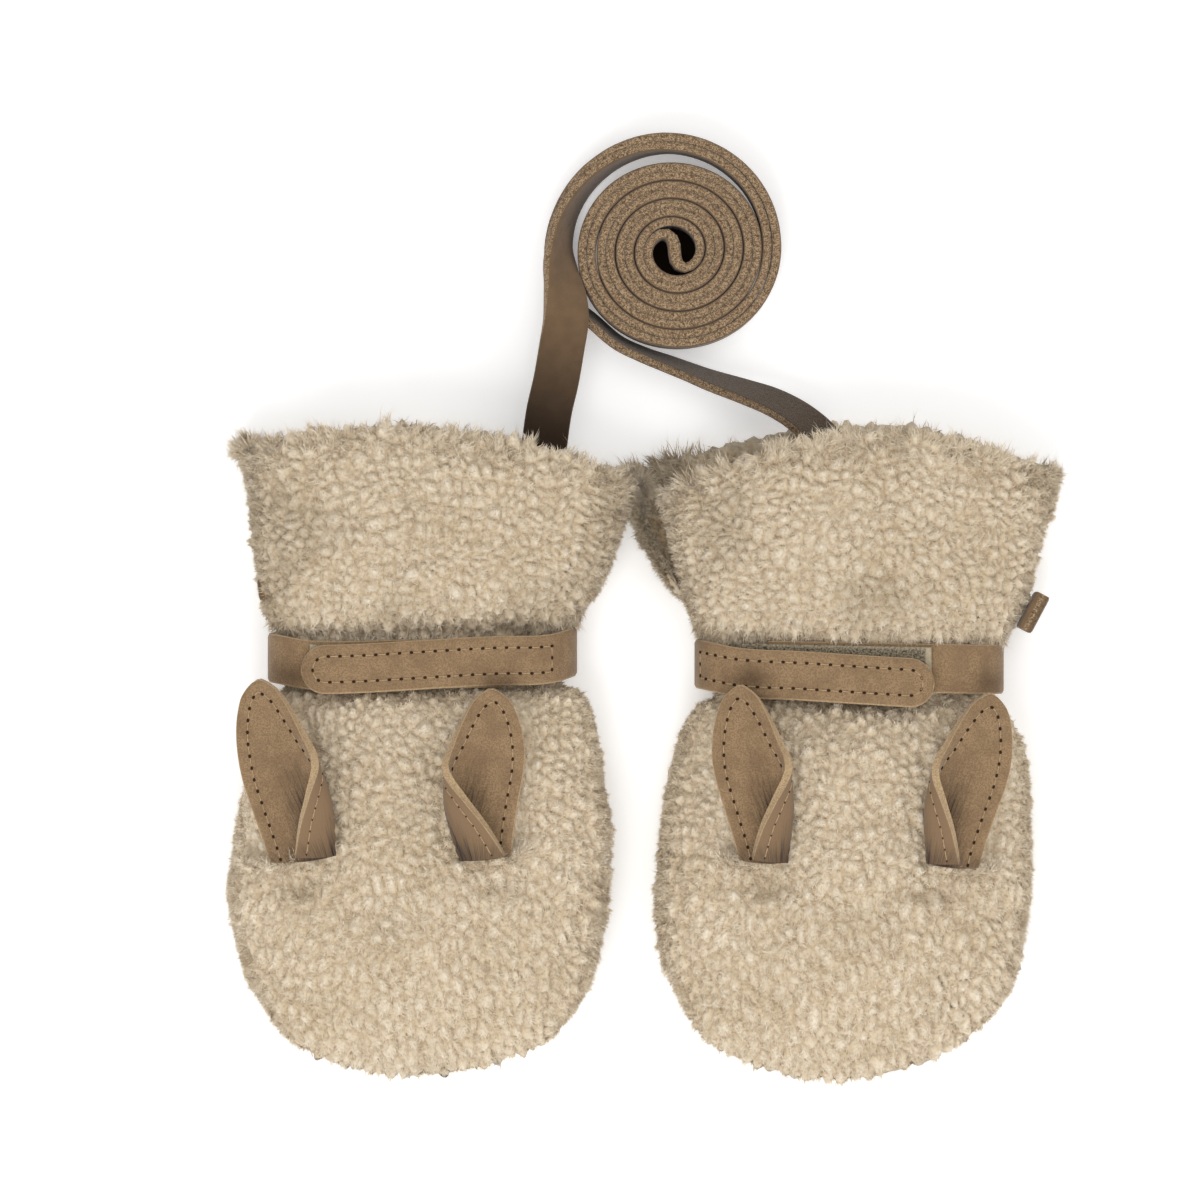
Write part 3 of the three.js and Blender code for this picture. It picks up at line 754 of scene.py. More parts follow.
@dataclass(frozen=True)
class SuedeFinish:
    """The joining strap: smooth on one face, rough on the other, with a speckled fibrous edge."""

    smooth_face: tuple = paint(114, 91, 67)
    rough_face: tuple = paint(124, 103, 79)
    dark: tuple = paint(62, 46, 32)
    fleck: tuple = paint(176, 150, 118)
    edge: tuple = paint(114, 91, 67)

    def make(self, name: str) -> Material:
        """Build the material."""
        board = Board(name)
        flesh = board.mark("under").between(0.6, 0.9)
        edge = board.mark("edge").between(0.45, 0.85)
        fine = board.grain(0.24, 2.0)
        coarse = board.grain(0.7, 3.0)
        mottle = board.grain(3.0, 3.0).between(0.3, 0.7)
        face = board.colour(mottle * 0.2, self.smooth_face, self.dark)
        rough = board.colour(fine.between(0.4, 0.62) * 0.8, self.rough_face, self.dark)
        sides = board.colour(flesh, face, rough)
        flecked = board.colour(fine.between(0.44, 0.6), self.edge, self.fleck)
        pitted = board.colour(coarse.between(0.48, 0.7) * 0.75, flecked, self.dark)
        # Painted shade from the shade mark, on the faces and more lightly on the edge.
        shaded = board.colour(board.mark("shade"), sides, self.dark, "MULTIPLY")
        darkened = board.colour(board.mark("shade") * 0.6, pitted, self.dark, "MULTIPLY")
        full = board.colour(edge, shaded, darkened)
        height = fine * (0.3 + 0.6 * edge + 0.5 * flesh) + coarse * 0.5
        return board.finish(
            full, 0.92, board.relief(height, 0.25),
            {"Specular IOR Level": 0.2, "Sheen Weight": 0.2, "Sheen Roughness": 0.5},
        )


@dataclass(frozen=True)
class ThreadFinish:
    """Pale sewing thread."""

    pale: tuple = paint(188, 162, 128)
    deep: tuple = paint(150, 124, 94)

    def make(self, name: str) -> Material:
        """Build the material."""
        board = Board(name)
        twist = board.grain(0.25, 1.0)
        tone = board.colour(twist.between(0.3, 0.7), self.pale, self.deep)
        return board.finish(tone, 0.8, board.relief(twist, 0.05), {"Specular IOR Level": 0.3})


@dataclass(frozen=True)
class HoleFinish:
    """Painted shade: the dark inside of a stitch hole."""

    deep: tuple = paint(40, 26, 16)
    rim: tuple = paint(62, 43, 28)

    def make(self, name: str) -> Material:
        """Build the material."""
        board = Board(name)
        tone = board.colour(board.grain(0.4, 1.0), self.deep, self.rim)
        return board.finish(tone, 0.95, None, {"Specular IOR Level": 0.1})


@dataclass(frozen=True)
class TapeFinish:
    """Grey hook-and-loop tape, fuzzy with loops."""

    light: tuple = paint(150, 138, 116)
    deep: tuple = paint(66, 60, 52)
    pale: tuple = paint(186, 172, 146)

    def make(self, name: str) -> Material:
        """Build the material."""
        board = Board(name)
        loops = board.grain(0.45, 3.0)
        woven = board.colour(loops.between(0.35, 0.7), self.light, self.deep)
        tone = board.colour(board.mark("hem") * 0.8, woven, self.pale)
        return board.finish(tone, 0.95, board.relief(loops, 0.4), {"Specular IOR Level": 0.1})


@dataclass
class Finishes:
    """Every material, made once."""

    fleece: Material
    leather: Material
    suede: Material
    thread: Material
    hole: Material
    tape: Material

    @classmethod
    def mix(cls) -> "Finishes":
        """Make the materials."""
        return cls(
            FleeceFinish().make("shearling"),
            LeatherFinish().make("nubuck"),
            SuedeFinish().make("suede_strap"),
            ThreadFinish().make("sewing_thread"),
            HoleFinish().make("stitch_holes"),
            TapeFinish().make("hook_and_loop"),
        )


def settle(piece: Piece, slot: Slot, *nodes: str) -> Piece:
    """Tell the frame where a piece belongs.

    Args:
        piece: The finished piece.
        slot: The record's material slot; not used.
        nodes: The solids that it stands for.

    Returns:
        The same piece.
    """
    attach(piece, "root")
    if nodes:
        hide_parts(*nodes)
    return piece


# Sewing


@dataclass
class Stitching:
    """A line of saddle stitches: thread from hole to hole, and a hole at each end painted dark as
    shade.
    """

    pitch: float = 2.7
    thread: float = 0.15
    hole: float = 0.36
    lift: float = 0.22
    sink: float = 0.12
    sides: int = 6
    rings: int = 5
    hole_sides: int = 8

    def sew(self, shape: Shape, line: Array, normals: Array, closed: bool = False) -> None:
        """Add the stitches along a line on a surface.

        Args:
            shape: Takes the stitches, with thread as look 0 and holes as look 1.
            line: Closely spaced points on the surface.
            normals: The surface's outward direction at each point.
            closed: Whether the line joins its own start.
        """
        reach = reach_of(line)
        count = max(2, int(round(reach[-1] / self.pitch)))
        places = np.linspace(0.0, reach[-1], count + 1)
        both = np.hstack([line, normals])
        for start, end in zip(places[:-1], places[1:]):
            at = np.linspace(start + self.hole * 0.5, end - self.hole * 0.5, self.rings)
            values = read_at(at, reach, both)
            self.strand(shape, values[:, :3], unit(values[:, 3:]))
        for place in places[:-1] if closed else places:
            value = read_at(place, reach, both)
            ahead, behind = (read_at(place + step, reach, line) for step in (0.2, -0.2))
            self.puncture(shape, value[:3], unit(value[3:]), unit(ahead - behind))

    def strand(self, shape: Shape, line: Array, normals: Array) -> None:
        """Add one stretch of thread that rises from a hole and dips into the next."""
        share = np.linspace(0.0, 1.0, len(line))
        lift = self.lift * np.sin(np.pi * share) ** 0.6 - self.sink
        centre = line + normals * lift[:, None]
        side = np.cross(tangents(centre), normals)
        up = np.cross(side, tangents(centre))
        angle = np.linspace(0, 2 * np.pi, self.sides, endpoint=False)
        radius = self.thread * (0.7 + 0.3 * np.sin(np.pi * share))
        ring = (np.cos(angle)[None, :, None] * side[:, None, :]
                + np.sin(angle)[None, :, None] * up[:, None, :])
        points = centre[:, None, :] + ring * radius[:, None, None]
        number = np.arange(len(line) * self.sides).reshape(len(line), self.sides)
        after = np.roll(number, -1, axis=1)
        quads = np.stack([number[:-1], number[1:], after[1:], after[:-1]], axis=-1).reshape(-1, 4)
        caps = [[row[0], row[step], row[step + 1]]
                for row in (number[0][::-1], number[-1]) for step in range(1, self.sides - 1)]
        shape.add(points, quads, np.array(caps), 0)

    def puncture(self, shape: Shape, centre: Array, normal: Array, along: Array) -> None:
        """Add one hole: a shallow oval dish just over the surface, painted dark as shade."""
        sides, side = self.hole_sides, np.cross(normal, along)
        angle = np.linspace(0, 2 * np.pi, sides, endpoint=False)
        ring = (np.cos(angle)[:, None] * along * 1.35 + np.sin(angle)[:, None] * side) * self.hole
        points = np.vstack([
            centre + normal * 0.2 + ring * 0.9,
            centre + normal * 0.14 + ring * 0.5,
            centre - normal * 0.3 + ring,
        ])
        number = np.arange(3 * sides).reshape(3, sides)
        after = np.roll(number, -1, axis=1)
        quads = np.vstack([
            np.stack([number[0], after[0], after[1], number[1]], axis=1),
            np.stack([number[2], after[2], after[0], number[0]], axis=1),
        ])
        steps = range(1, sides - 1)
        caps = [[sides, sides + step, sides + step + 1] for step in steps]
        caps += [[2 * sides, 2 * sides + step + 1, 2 * sides + step] for step in steps]
        shape.add(points, quads, np.array(caps), 1)


# Shearling


@dataclass
class PanelForm:
    """The shape of one panel, read smoothly between its rows."""

    rows: tuple
    face: Face
    depth: float = 2.6
    lining_depth: float = 15.0
    lining_pile: float = 2.0
    lining_inset: float = 0.8
    off_floor: float = 0.9

    def __post_init__(self) -> None:
        """Lay the table out and measure it along its middle."""
        self.table = np.array(self.rows, dtype=float)
        fine = np.linspace(0, len(self.table) - 1, 600)
        values = even_spline(self.table, fine)
        y = (values[:, 1] + values[:, 3]) / 2 + values[:, 4]
        reach = np.cumsum(np.abs(np.diff(np.concatenate([[y[0]], y]))) + 1e-6)
        self.fine, self.reach = fine, reach - reach[0]
        self.length = float(self.reach[-1])
        self.middle_y = float((y[0] + y[-1]) / 2)

    def columns(self, count: int) -> Array:
        """Places across the panel, evenly spaced along its curved section."""
        across = np.linspace(-1, 1, 2001)
        x = across * 42.0
        if self.face is Face.FRONT:
            z = 15.0 * self.dome(across)
        else:
            z = 9.0 * self.turn_up(across)
        reach = np.concatenate([[0.0], np.cumsum(np.hypot(np.diff(x), np.diff(z)))])
        even = np.interp(np.linspace(0, reach[-1], count), reach, across)
        return even if self.face is Face.FRONT else even[::-1]

    @staticmethod
    def dome(across: Array) -> Array:
        """Share of the full height at a place across the front panel."""
        return np.sqrt(np.maximum(0.0, 1.0 - np.abs(across) ** DOME_POWER))

    @staticmethod
    def turn_up(across: Array) -> Array:
        """Share of the seam's height at a place across the back panel."""
        past = np.maximum(0.0, (np.abs(across) - FLAT_SHARE) / (1.0 - FLAT_SHARE))
        return 1.0 - np.sqrt(np.maximum(0.0, 1.0 - past * past))

    def line(self, values: Array, across: Array, inset: float, z: Array) -> Array:
        """Place points across rows of the table.

        Args:
            values: Rows of the table, one for each line.
            across: Places across, from -1 to 1.
            inset: How far the line's ends are drawn in.
            z: Heights, one for each line and place.

        Returns:
            A grid of points.
        """
        xl, yl, xr, yr, bow = (values[:, index][:, None] for index in range(5))
        half = (xr - xl) / 2
        share = across[None, :] * (half - inset) / half
        x = (xl + xr) / 2 + share * half
        y = yl + (yr - yl) * (share + 1) / 2 + bow * (1 - share**2)
        shrink = 1.0 - self.depth / (self.length / 2)
        y = self.middle_y + (y - self.middle_y) * shrink
        return np.stack([x, y, np.broadcast_to(z, x.shape)], axis=-1)

    def surface(self, places: Array, across: Array, lining: bool) -> Array:
        """The skin under the pile, at lengths from the mouth.

        Args:
            places: Lengths from the mouth.
            across: Places across, from -1 to 1.
            lining: Whether it is the skin of the hollow or the one outside.

        Returns:
            A grid of points.
        """
        values = even_spline(self.table, np.interp(places, self.reach, self.fine))
        crown, ceiling, floor, under = (values[:, index][:, None] for index in range(5, 9))
        if self.face is Face.FRONT:
            top = ceiling + self.lining_pile if lining else crown - self.depth
            z = SEAM_Z + (top - SEAM_Z) * self.dome(across)[None, :]
        else:
            base = floor - self.lining_pile if lining else np.maximum(under, 0.0) + self.off_floor
            z = base + (SEAM_Z - base) * self.turn_up(across)[None, :]
        return self.line(values, across, self.depth + (self.lining_inset if lining else 0.0), z)


@dataclass(frozen=True)
class Relief:
    """How the skin rises into curls, in millimetres, and the shares that hold it down."""

    groove: float = 0.85
    curl_radius: float = 0.95
    curl: float = 1.15
    rough: float = 0.5
    soft: float = 1.5
    tufts: float = 2.2
    dimple: float = 1.5
    dimple_size: tuple[float, float] = (6.0, 2.6)
    collar: float = 2.3
    pressed_by_strap: float = 0.85
    under_leather: float = 0.5
    low_at_seams: float = 0.4
    lining_swell: float = 2.8
    outer_swell: float = 0.9
    swell_way: tuple[float, float, float] = (-0.8, 0.2, 1.0)
    corner_spread: float = 1.3
    over_strap: tuple[float, float, float] = (0.0, -1.5, 0.9)
    tip_closing: float = 1.2
    tip_reach: float = 3.2
    above_floor: float = 0.04


@dataclass(frozen=True)
class SoilAndShade:
    """How greyed the fleece is, as shares, and how far the grey reaches in millimetres. Loose
    patches and the cuffs are greyed; beside the strap the grey is painted shade with some soil, and
    in the dimples, inside the back's lining and on the back's fleece that shows past the front's
    corner it is painted shade.
    """

    strap: float = 0.14
    strap_reach: float = 8.4
    patch: float = 0.08
    cuff_patch: float = 0.26
    cuff: float = 0.06
    dimple: float = 0.36
    dimple_size: tuple[float, float] = (6.5, 3.0)
    lining: float = 0.3
    bare: float = 0.15
    most: float = 0.85


@dataclass(frozen=True)
class Crowding:
    """How much thicker than elsewhere the strands grow in some places."""

    lining: tuple[float, float] = (0.25, 1.2)
    mouth: float = 1.2
    sides: float = 2.0
    collar: float = 4.5
    over_strap: float = 1.5
    bare: float = 12.0
    corner: float = 2.5
    back_sides: float = 4.0
    underside: float = 0.12


@dataclass(frozen=True)
class StrandLength:
    """A strand's length in millimetres, and what some places add to it."""

    base: float = 1.2
    hand: float = 0.3
    mouth: float = 2.1
    over_strap: float = 1.5
    collar: float = 1.2
    bare: float = 1.1
    corner: float = 0.4
    under_leather: float = 0.4


@dataclass
class Pile:
    """How a panel's pile is made: its skin's mesh size, its curls and its strands."""

    mesh: float
    strands: int
    fibres: int
    curl: float = 2.75
    height: float = 2.1
    seed: int = 3
    relief: Relief = Relief()
    soil_and_shade_amounts: SoilAndShade = SoilAndShade()
    crowding: Crowding = Crowding()
    length: StrandLength = StrandLength()


@dataclass
class ShearlingPanel:
    """One panel of shearling: a skin with curls in relief, and the strands of its pile."""

    name: str
    node: str
    form: PanelForm
    pile: Pile
    dimples: tuple[tuple[float, float], ...]
    ears: tuple["Ear", ...]
    belt: "Belt"
    flat: tuple[float, float, float]
    shows: bool = False

    def build(self, finishes: Finishes) -> None:
        self.lay_grid()
        self.raise_curls()
        skin = self.make_skin(finishes)
        strands = self.make_strands(finishes)
        logging.info("%s: skin %d points, pile %d faces", self.name, len(skin.data.vertices),
                     len(strands.data.polygons))

    def lay_grid(self) -> None:
        """Lay the skin's grid from inside the hollow round the mouth and along the outside."""
        form, step = self.form, self.pile.mesh
        multiple = 3
        count = int(round(108.0 / step / multiple)) * multiple + 1
        across = form.columns(count)
        inner_rows = int(form.lining_depth / step)
        inner = form.surface(np.linspace(form.lining_depth, 1.5, inner_rows), across, True)
        outer_count = int(form.length / step)
        turn_rows = 5
        spare = (inner_rows + turn_rows + outer_count - 1) % multiple
        outer_count += (multiple - spare) % multiple
        outer = form.surface(np.linspace(0.0, form.length, outer_count), across, False)
        angle = np.linspace(0, np.pi, turn_rows + 2)[1:-1, None, None]
        middle, half = (outer[0] + inner[-1]) / 2, (outer[0] - inner[-1]) / 2
        swell = np.minimum(np.linalg.norm(half, axis=-1, keepdims=True), 1.6)
        turn = middle - half * np.cos(angle) + np.array([0.0, 1.0, 0.0]) * swell * np.sin(angle)
        self.base = np.concatenate([inner, turn, outer])
        self.inner_rows, self.lining_rows = inner_rows, inner_rows + turn_rows
        rows = np.gradient(self.base, axis=0)
        columns = np.gradient(self.base, axis=1)
        self.along, self.over = unit(rows), unit(columns)
        self.normal = unit(np.cross(rows, columns))
        reach_along = np.cumsum(np.linalg.norm(rows, axis=-1), axis=0)
        reach_over = np.cumsum(np.linalg.norm(columns, axis=-1), axis=1)
        self.v = reach_along[:, count // 2][:, None] * np.ones((1, count))
        self.u = reach_over - reach_over[:, count // 2][:, None]

    def stretch(self) -> Array:
        """How much the curls are drawn out along the hand, as a coordinate along the panel."""
        y = self.base[:, self.base.shape[1] // 2, 1]
        drawn = 1.0 - 0.34 * smooth((-48.0 - y) / 24.0)
        steps = np.gradient(self.v[:, 0]) * drawn
        return np.cumsum(steps)[:, None] * np.ones((1, self.base.shape[1]))

    def curls(self, u: Array, v: Array, places: Array) -> tuple[Array, Array, Array, Array]:
        """Find the curl that each place belongs to.

        Args:
            u: Lengths across the panel.
            v: Lengths along it, drawn out where the curls are long.
            places: The places in space, for a slight wander.

        Returns:
            Distances to the nearest and second nearest curl's middle, the way to the nearest, and
            its own random number.
        """
        across, along = (
            length / self.pile.curl + (self.layer(places, layer) - 0.5) * CURL_WANDER
            for length, layer in ((u, Layer.WANDER_ACROSS), (v, Layer.WANDER_ALONG))
        )
        seed = self.pile.seed
        column = np.floor(across).astype(int)
        first = np.full(across.shape, FAR)
        second = first.copy()
        way_u, way_v, own = (np.zeros(across.shape) for _ in range(3))
        for step_u in (-1, 0, 1):
            beside = column + step_u
            offset = scramble((beside,), seed + 3) * 5.0
            row = np.floor(along - offset).astype(int)
            for step_v in (-1, 0, 1):
                key = (beside, row + step_v)
                off_u = beside + 0.08 + 0.84 * scramble(key, seed) - across
                off_v = key[1] + offset + 0.08 + 0.84 * scramble(key, seed + 1) - along
                distance = np.hypot(off_u, off_v) + 0.25 * (scramble(key, seed + 4) - 0.5)
                nearer = distance < first
                second = np.where(nearer, first, np.minimum(second, distance))
                first = np.where(nearer, distance, first)
                way_u, way_v = np.where(nearer, off_u, way_u), np.where(nearer, off_v, way_v)
                own = np.where(nearer, scramble(key, seed + 2), own)
        return first, second, np.stack([way_u, way_v], axis=-1), own

    def layer(self, points: Array, layer: Layer) -> Array:
        """Read one layer of lumps at points of this panel."""
        size, offset = layer.value
        return lumps(points, size, self.pile.seed + offset)

    def raise_curls(self) -> None:
        """Raise the skin into curls, soft lumps and the dimples under the ears."""
        relief = self.pile.relief
        shape = self.base.shape[:2]
        flat = self.base.reshape(-1, 3)
        x, y = flat[:, 0], flat[:, 1]
        first, second, way, own = self.curls(self.u.ravel(), self.stretch().ravel(), flat)
        edge = np.clip((second - first) / relief.groove, 0.0, 1.0) ** 0.7
        nub = np.sqrt(np.clip(1.0 - (first / relief.curl_radius) ** 2, 0.02, 1.0))
        gap = smooth((self.layer(flat, Layer.GAPS) - 0.62) / 0.22)
        curl = edge * nub * (0.5 + 0.55 * own) * (1.0 - 0.55 * gap)
        near_belt = self.belt.nearness(x, y, self.form.face)
        amount = self.pile.height * (1.0 - relief.pressed_by_strap * near_belt)
        amount = amount * np.where(self.hidden(flat), relief.under_leather, 1.0)
        amount *= 1.0 - relief.low_at_seams * self.seam_share(0.88, 0.1).ravel()
        middling = self.layer(flat, Layer.MIDDLING) - 0.5
        rise = (curl * relief.curl + middling * relief.rough) * amount
        rise = rise + (self.layer(flat, Layer.FINE) - 0.5) * 0.5
        mouth = self.mouth_share(np.arange(shape[0]))[:, None] * np.ones(shape)
        soft, tufts = (self.layer(flat, layer) - 0.5 for layer in (Layer.SOFT, Layer.TUFTS))
        rise += soft * relief.soft * (1.0 - near_belt) + tufts * relief.tufts * mouth.ravel()
        for dimple in self.dimples:
            rise -= relief.dimple * spot(x, y, dimple, relief.dimple_size)
        self.collar = self.ear_collar(flat).reshape(shape)
        rise += relief.collar * self.collar.ravel()
        self.bare, self.corner = self.bared(), self.corner_share()
        in_seam = self.rows_before(self.inner_rows) * self.seam_share(0.8, 0.18)
        self.rise = rise.reshape(shape) * (1.0 - in_seam * (1.0 - self.bare))
        # Grey mark, with painted shade added on the back's fleece that shows past the front's
        # corner.
        self.soil = np.clip(
            self.soil_and_shade_share(flat).reshape(shape) + self.pile.soil_and_shade_amounts.bare * self.bare,
            0.0, self.pile.soil_and_shade_amounts.most)
        self.curl, self.own = curl.reshape(shape), own.reshape(shape)
        self.way = way.reshape(shape + (2,))
        self.skin = self.shaped_skin(flat)

    def shaped_skin(self, flat: Array) -> Array:
        """Move the skin out by its rise, round the corners, over the strap and shut at the tip.

        Args:
            flat: The plain skin's points.

        Returns:
            The finished skin's grid.
        """
        relief, shape = self.pile.relief, self.base.shape[:2]
        lining = self.rows_before(self.lining_rows)
        swell = self.bare * np.where(lining, relief.lining_swell, relief.outer_swell)
        spread = self.corner * np.sign(self.side_share()) * relief.corner_spread
        skin = (self.base + self.normal * self.rise[..., None]
                + swell[..., None] * np.array(relief.swell_way)
                + spread[..., None] * np.array([1.0, 0.0, 0.0]))
        past = self.belt.away(flat[:, 0], flat[:, 1], 0.0, self.form.face) - STRAP_WIDTH / 2
        outer = ~self.rows_before(self.lining_rows + 1)
        hang = outer * (self.belt.overhang(flat) * smooth(past)).reshape(shape)
        skin += hang[..., None] * np.array(relief.over_strap)
        tip = bell((np.arange(shape[0]) - shape[0] + 1) * self.pile.mesh, relief.tip_reach)
        shut = -relief.tip_closing if self.form.face is Face.FRONT else relief.tip_closing
        skin[..., 2] += shut * tip[:, None]
        skin[..., 2] = np.maximum(skin[..., 2], relief.above_floor)
        return skin

    def rows_before(self, count: int) -> Array:
        """Tell which rows come before a number, as a column."""
        return np.arange(self.base.shape[0])[:, None] < count

    def seam_share(self, start: float, width: float) -> Array:
        """How near each place is to a side seam, from a share of the half width on."""
        return smooth((np.abs(self.side_share()) - start) / width)

    def bared(self) -> Array:
        """Share from 0 to 1 of the back's fleece that shows past the front's corner."""
        if not self.shows:
            return np.zeros(self.base.shape[:2])
        side = smooth((-self.side_share() - 0.6) / 0.3)
        return side * smooth((self.base[..., 1] + 4.0) / 10.0)

    def corner_share(self) -> Array:
        """Share from 0 to 1 of the fleece that bulges at the two ends of the cuff's mouth."""
        near = bell(self.from_mouth(np.arange(self.base.shape[0])), CORNER_REACH)
        return near[:, None] * self.seam_share(0.72, 0.28)

    def mouth_share(self, row: Array) -> Array:
        """How near each row is to the cuff's mouth."""
        return bell(self.from_mouth(row), MOUTH_REACH)

    def from_mouth(self, row: Array) -> Array:
        """Length from the middle of the mouth's turn to each row."""
        return (row - (self.inner_rows + self.lining_rows) / 2) * self.pile.mesh

    def hidden(self, points: Array) -> Array:
        """Tell which points lie under an ear or under the wrist strap's tab."""
        under = np.zeros(len(points), bool)
        if self.form.face is Face.FRONT:
            under |= self.belt.tab_covers(points)
            for ear in self.ears:
                under |= ear.covers(points)
        return under

    def ear_collar(self, points: Array) -> Array:
        """Share from 0 to 1 of the ridge of fleece that stands against each ear's sewn base."""
        ridge = np.zeros(len(points))
        if self.form.face is Face.FRONT:
            for ear in self.ears:
                ridge = np.maximum(ridge, ear.collar(points))
        return ridge

    def soil_and_shade_share(self, points: Array) -> Array:
        """How greyed the fleece is: painted shade with some soil beside the strap, painted shade in
        the dimples under the ears and inside the back's lining, and grey in loose patches and over
        the cuffs.
        """
        soil_and_shade_amounts = self.pile.soil_and_shade_amounts
        x, y = points[:, 0], points[:, 1]
        beside = self.belt.nearness(x, y, self.form.face, soil_and_shade_amounts.strap_reach)
        patch = smooth((self.layer(points, Layer.PATCHES) - 0.55) / 0.25)
        fine = 0.4 + 0.6 * self.layer(points, Layer.SOIL_AND_SHADE)
        cuff = smooth((y + 18.0) / 12.0)
        soil = (soil_and_shade_amounts.strap * beside * fine
                + patch * (soil_and_shade_amounts.patch + soil_and_shade_amounts.cuff_patch * cuff) * fine + soil_and_shade_amounts.cuff * cuff)
        for dimple in self.dimples:
            soil += soil_and_shade_amounts.dimple * spot(x, y, dimple, soil_and_shade_amounts.dimple_size) * fine
        if self.form.face is Face.BACK:
            rows = self.rows_before(self.lining_rows).ravel()
            soil += soil_and_shade_amounts.lining * np.repeat(rows, self.base.shape[1])
        return np.clip(soil, 0.0, 0.8)

    def make_skin(self, finishes: Finishes) -> Piece:
        """Make the skin: a fine relief over a coarse plain backing, closed at the edges."""
        rows, columns = self.skin.shape[:2]
        shape = Shape()
        # Painted shade: the skin is darker between the curls and paler on their tops.
        pile = SKIN_TONE + CURL_TONE * self.curl
        first = shape.add(
            self.skin, grid_faces(rows, columns), pile=pile.ravel(), tuft=self.own.ravel(),
            soil=self.soil.ravel())
        sunk = 0.9 + 1.5 * np.maximum(0.0, -self.rise)
        back = (self.base - self.normal * sunk[..., None])[::3, ::3]
        back[..., 2] = np.maximum(back[..., 2], 0.02)
        second = shape.add(
            back, grid_faces(*back.shape[:2], flip=True), pile=0.5, tuft=0.0, soil=0.3)
        fine = rim_of(rows, columns)
        coarse = rim_of(*back.shape[:2])
        outer = fine[:, 0] * columns + fine[:, 1] + first
        inner = coarse[:, 0] * back.shape[1] + coarse[:, 1] + second
        turn = np.arange(len(coarse))
        ahead = np.roll(turn, -1)
        threes = [outer[(turn * 3 + step) % len(outer)] for step in range(4)]
        shape.join(None, np.vstack([np.stack(corners, axis=1) for corners in (
            (threes[0], threes[1], inner[turn]), (threes[1], threes[2], inner[turn]),
            (threes[2], inner[ahead], inner[turn]), (threes[2], threes[3], inner[ahead]),
        )]))
        made = shape.piece(self.name, [finishes.fleece])
        return settle(made, Slot.FLEECE, self.node)

    def pick_roots(self, random: np.random.Generator, count: int) -> tuple[Array, Array]:
        """Choose where strands grow: thick at the mouth, none under the strap.

        Args:
            random: Source of chance.
            count: How many strands.

        Returns:
            Places on the grid, as rows and columns with fractions.
        """
        rows, columns = self.skin.shape[:2]
        crowding, back = self.pile.crowding, self.form.face is Face.BACK
        weight = np.linalg.norm(np.cross(np.gradient(self.base, axis=0),
                                         np.gradient(self.base, axis=1)), axis=-1)
        x, y, z = (self.base[..., index] for index in range(3))
        weight[:self.inner_rows] *= np.linspace(*crowding.lining, self.inner_rows)[:, None]
        weight *= 1.0 + crowding.mouth * self.mouth_share(np.arange(rows))[:, None]
        weight *= 1.0 + crowding.sides * (np.abs(self.side_share()) > 0.94)
        weight *= 1.0 + crowding.collar * self.collar
        edge = self.belt.overhang(self.base.reshape(-1, 3)).reshape(rows, columns)
        weight *= 1.0 + crowding.over_strap * edge
        weight *= (1.0 + crowding.bare * self.bare) * (1.0 + crowding.corner * self.corner)
        if back:
            weight *= 1.0 + crowding.back_sides * (np.abs(self.side_share()) > 0.95)
        weight *= np.where(self.belt.under(x, y, self.form.face), 0.0, 1.0)
        if back:
            outer = ~self.rows_before(self.lining_rows)
            weight *= np.where(outer & (z < 1.6), crowding.underside, 1.0)
        chance = weight.ravel() / weight.sum()
        cell = random.choice(rows * columns, count, p=chance)
        row = np.clip(cell // columns + random.random(len(cell)) - 0.5, 0, rows - 1.001)
        column = np.clip(cell % columns + random.random(len(cell)) - 0.5, 0, columns - 1.001)
        return row, column

    def sample(self, grid: Array, row: Array, column: Array) -> Array:
        """Read a grid between its points."""
        i, j = row.astype(int), column.astype(int)
        a, b = (row - i), (column - j)
        if grid.ndim == 3:
            a, b = a[:, None], b[:, None]
        return ((1 - a) * (1 - b) * grid[i, j] + a * (1 - b) * grid[i + 1, j]
                + (1 - a) * b * grid[i, j + 1] + a * b * grid[i + 1, j + 1])

    def side_share(self) -> Array:
        """How far each place is from the middle line, -1 and 1 at the side seams."""
        x = self.base[..., 0]
        low, high = x.min(axis=1, keepdims=True), x.max(axis=1, keepdims=True)
        return (2 * x - low - high) / np.maximum(high - low, 1e-6)

    def make_strands(self, finishes: Finishes) -> Piece:
        """Grow the pile: bent strands, and a fuzz of finer fibres over them."""
        random = np.random.default_rng(self.pile.seed)
        shape = Shape()
        self.grow(shape, random, self.pile.strands, True)
        self.grow(shape, random, self.pile.fibres, False)
        made = shape.piece(self.name + "_pile", [finishes.fleece])
        return settle(made, Slot.FLEECE)

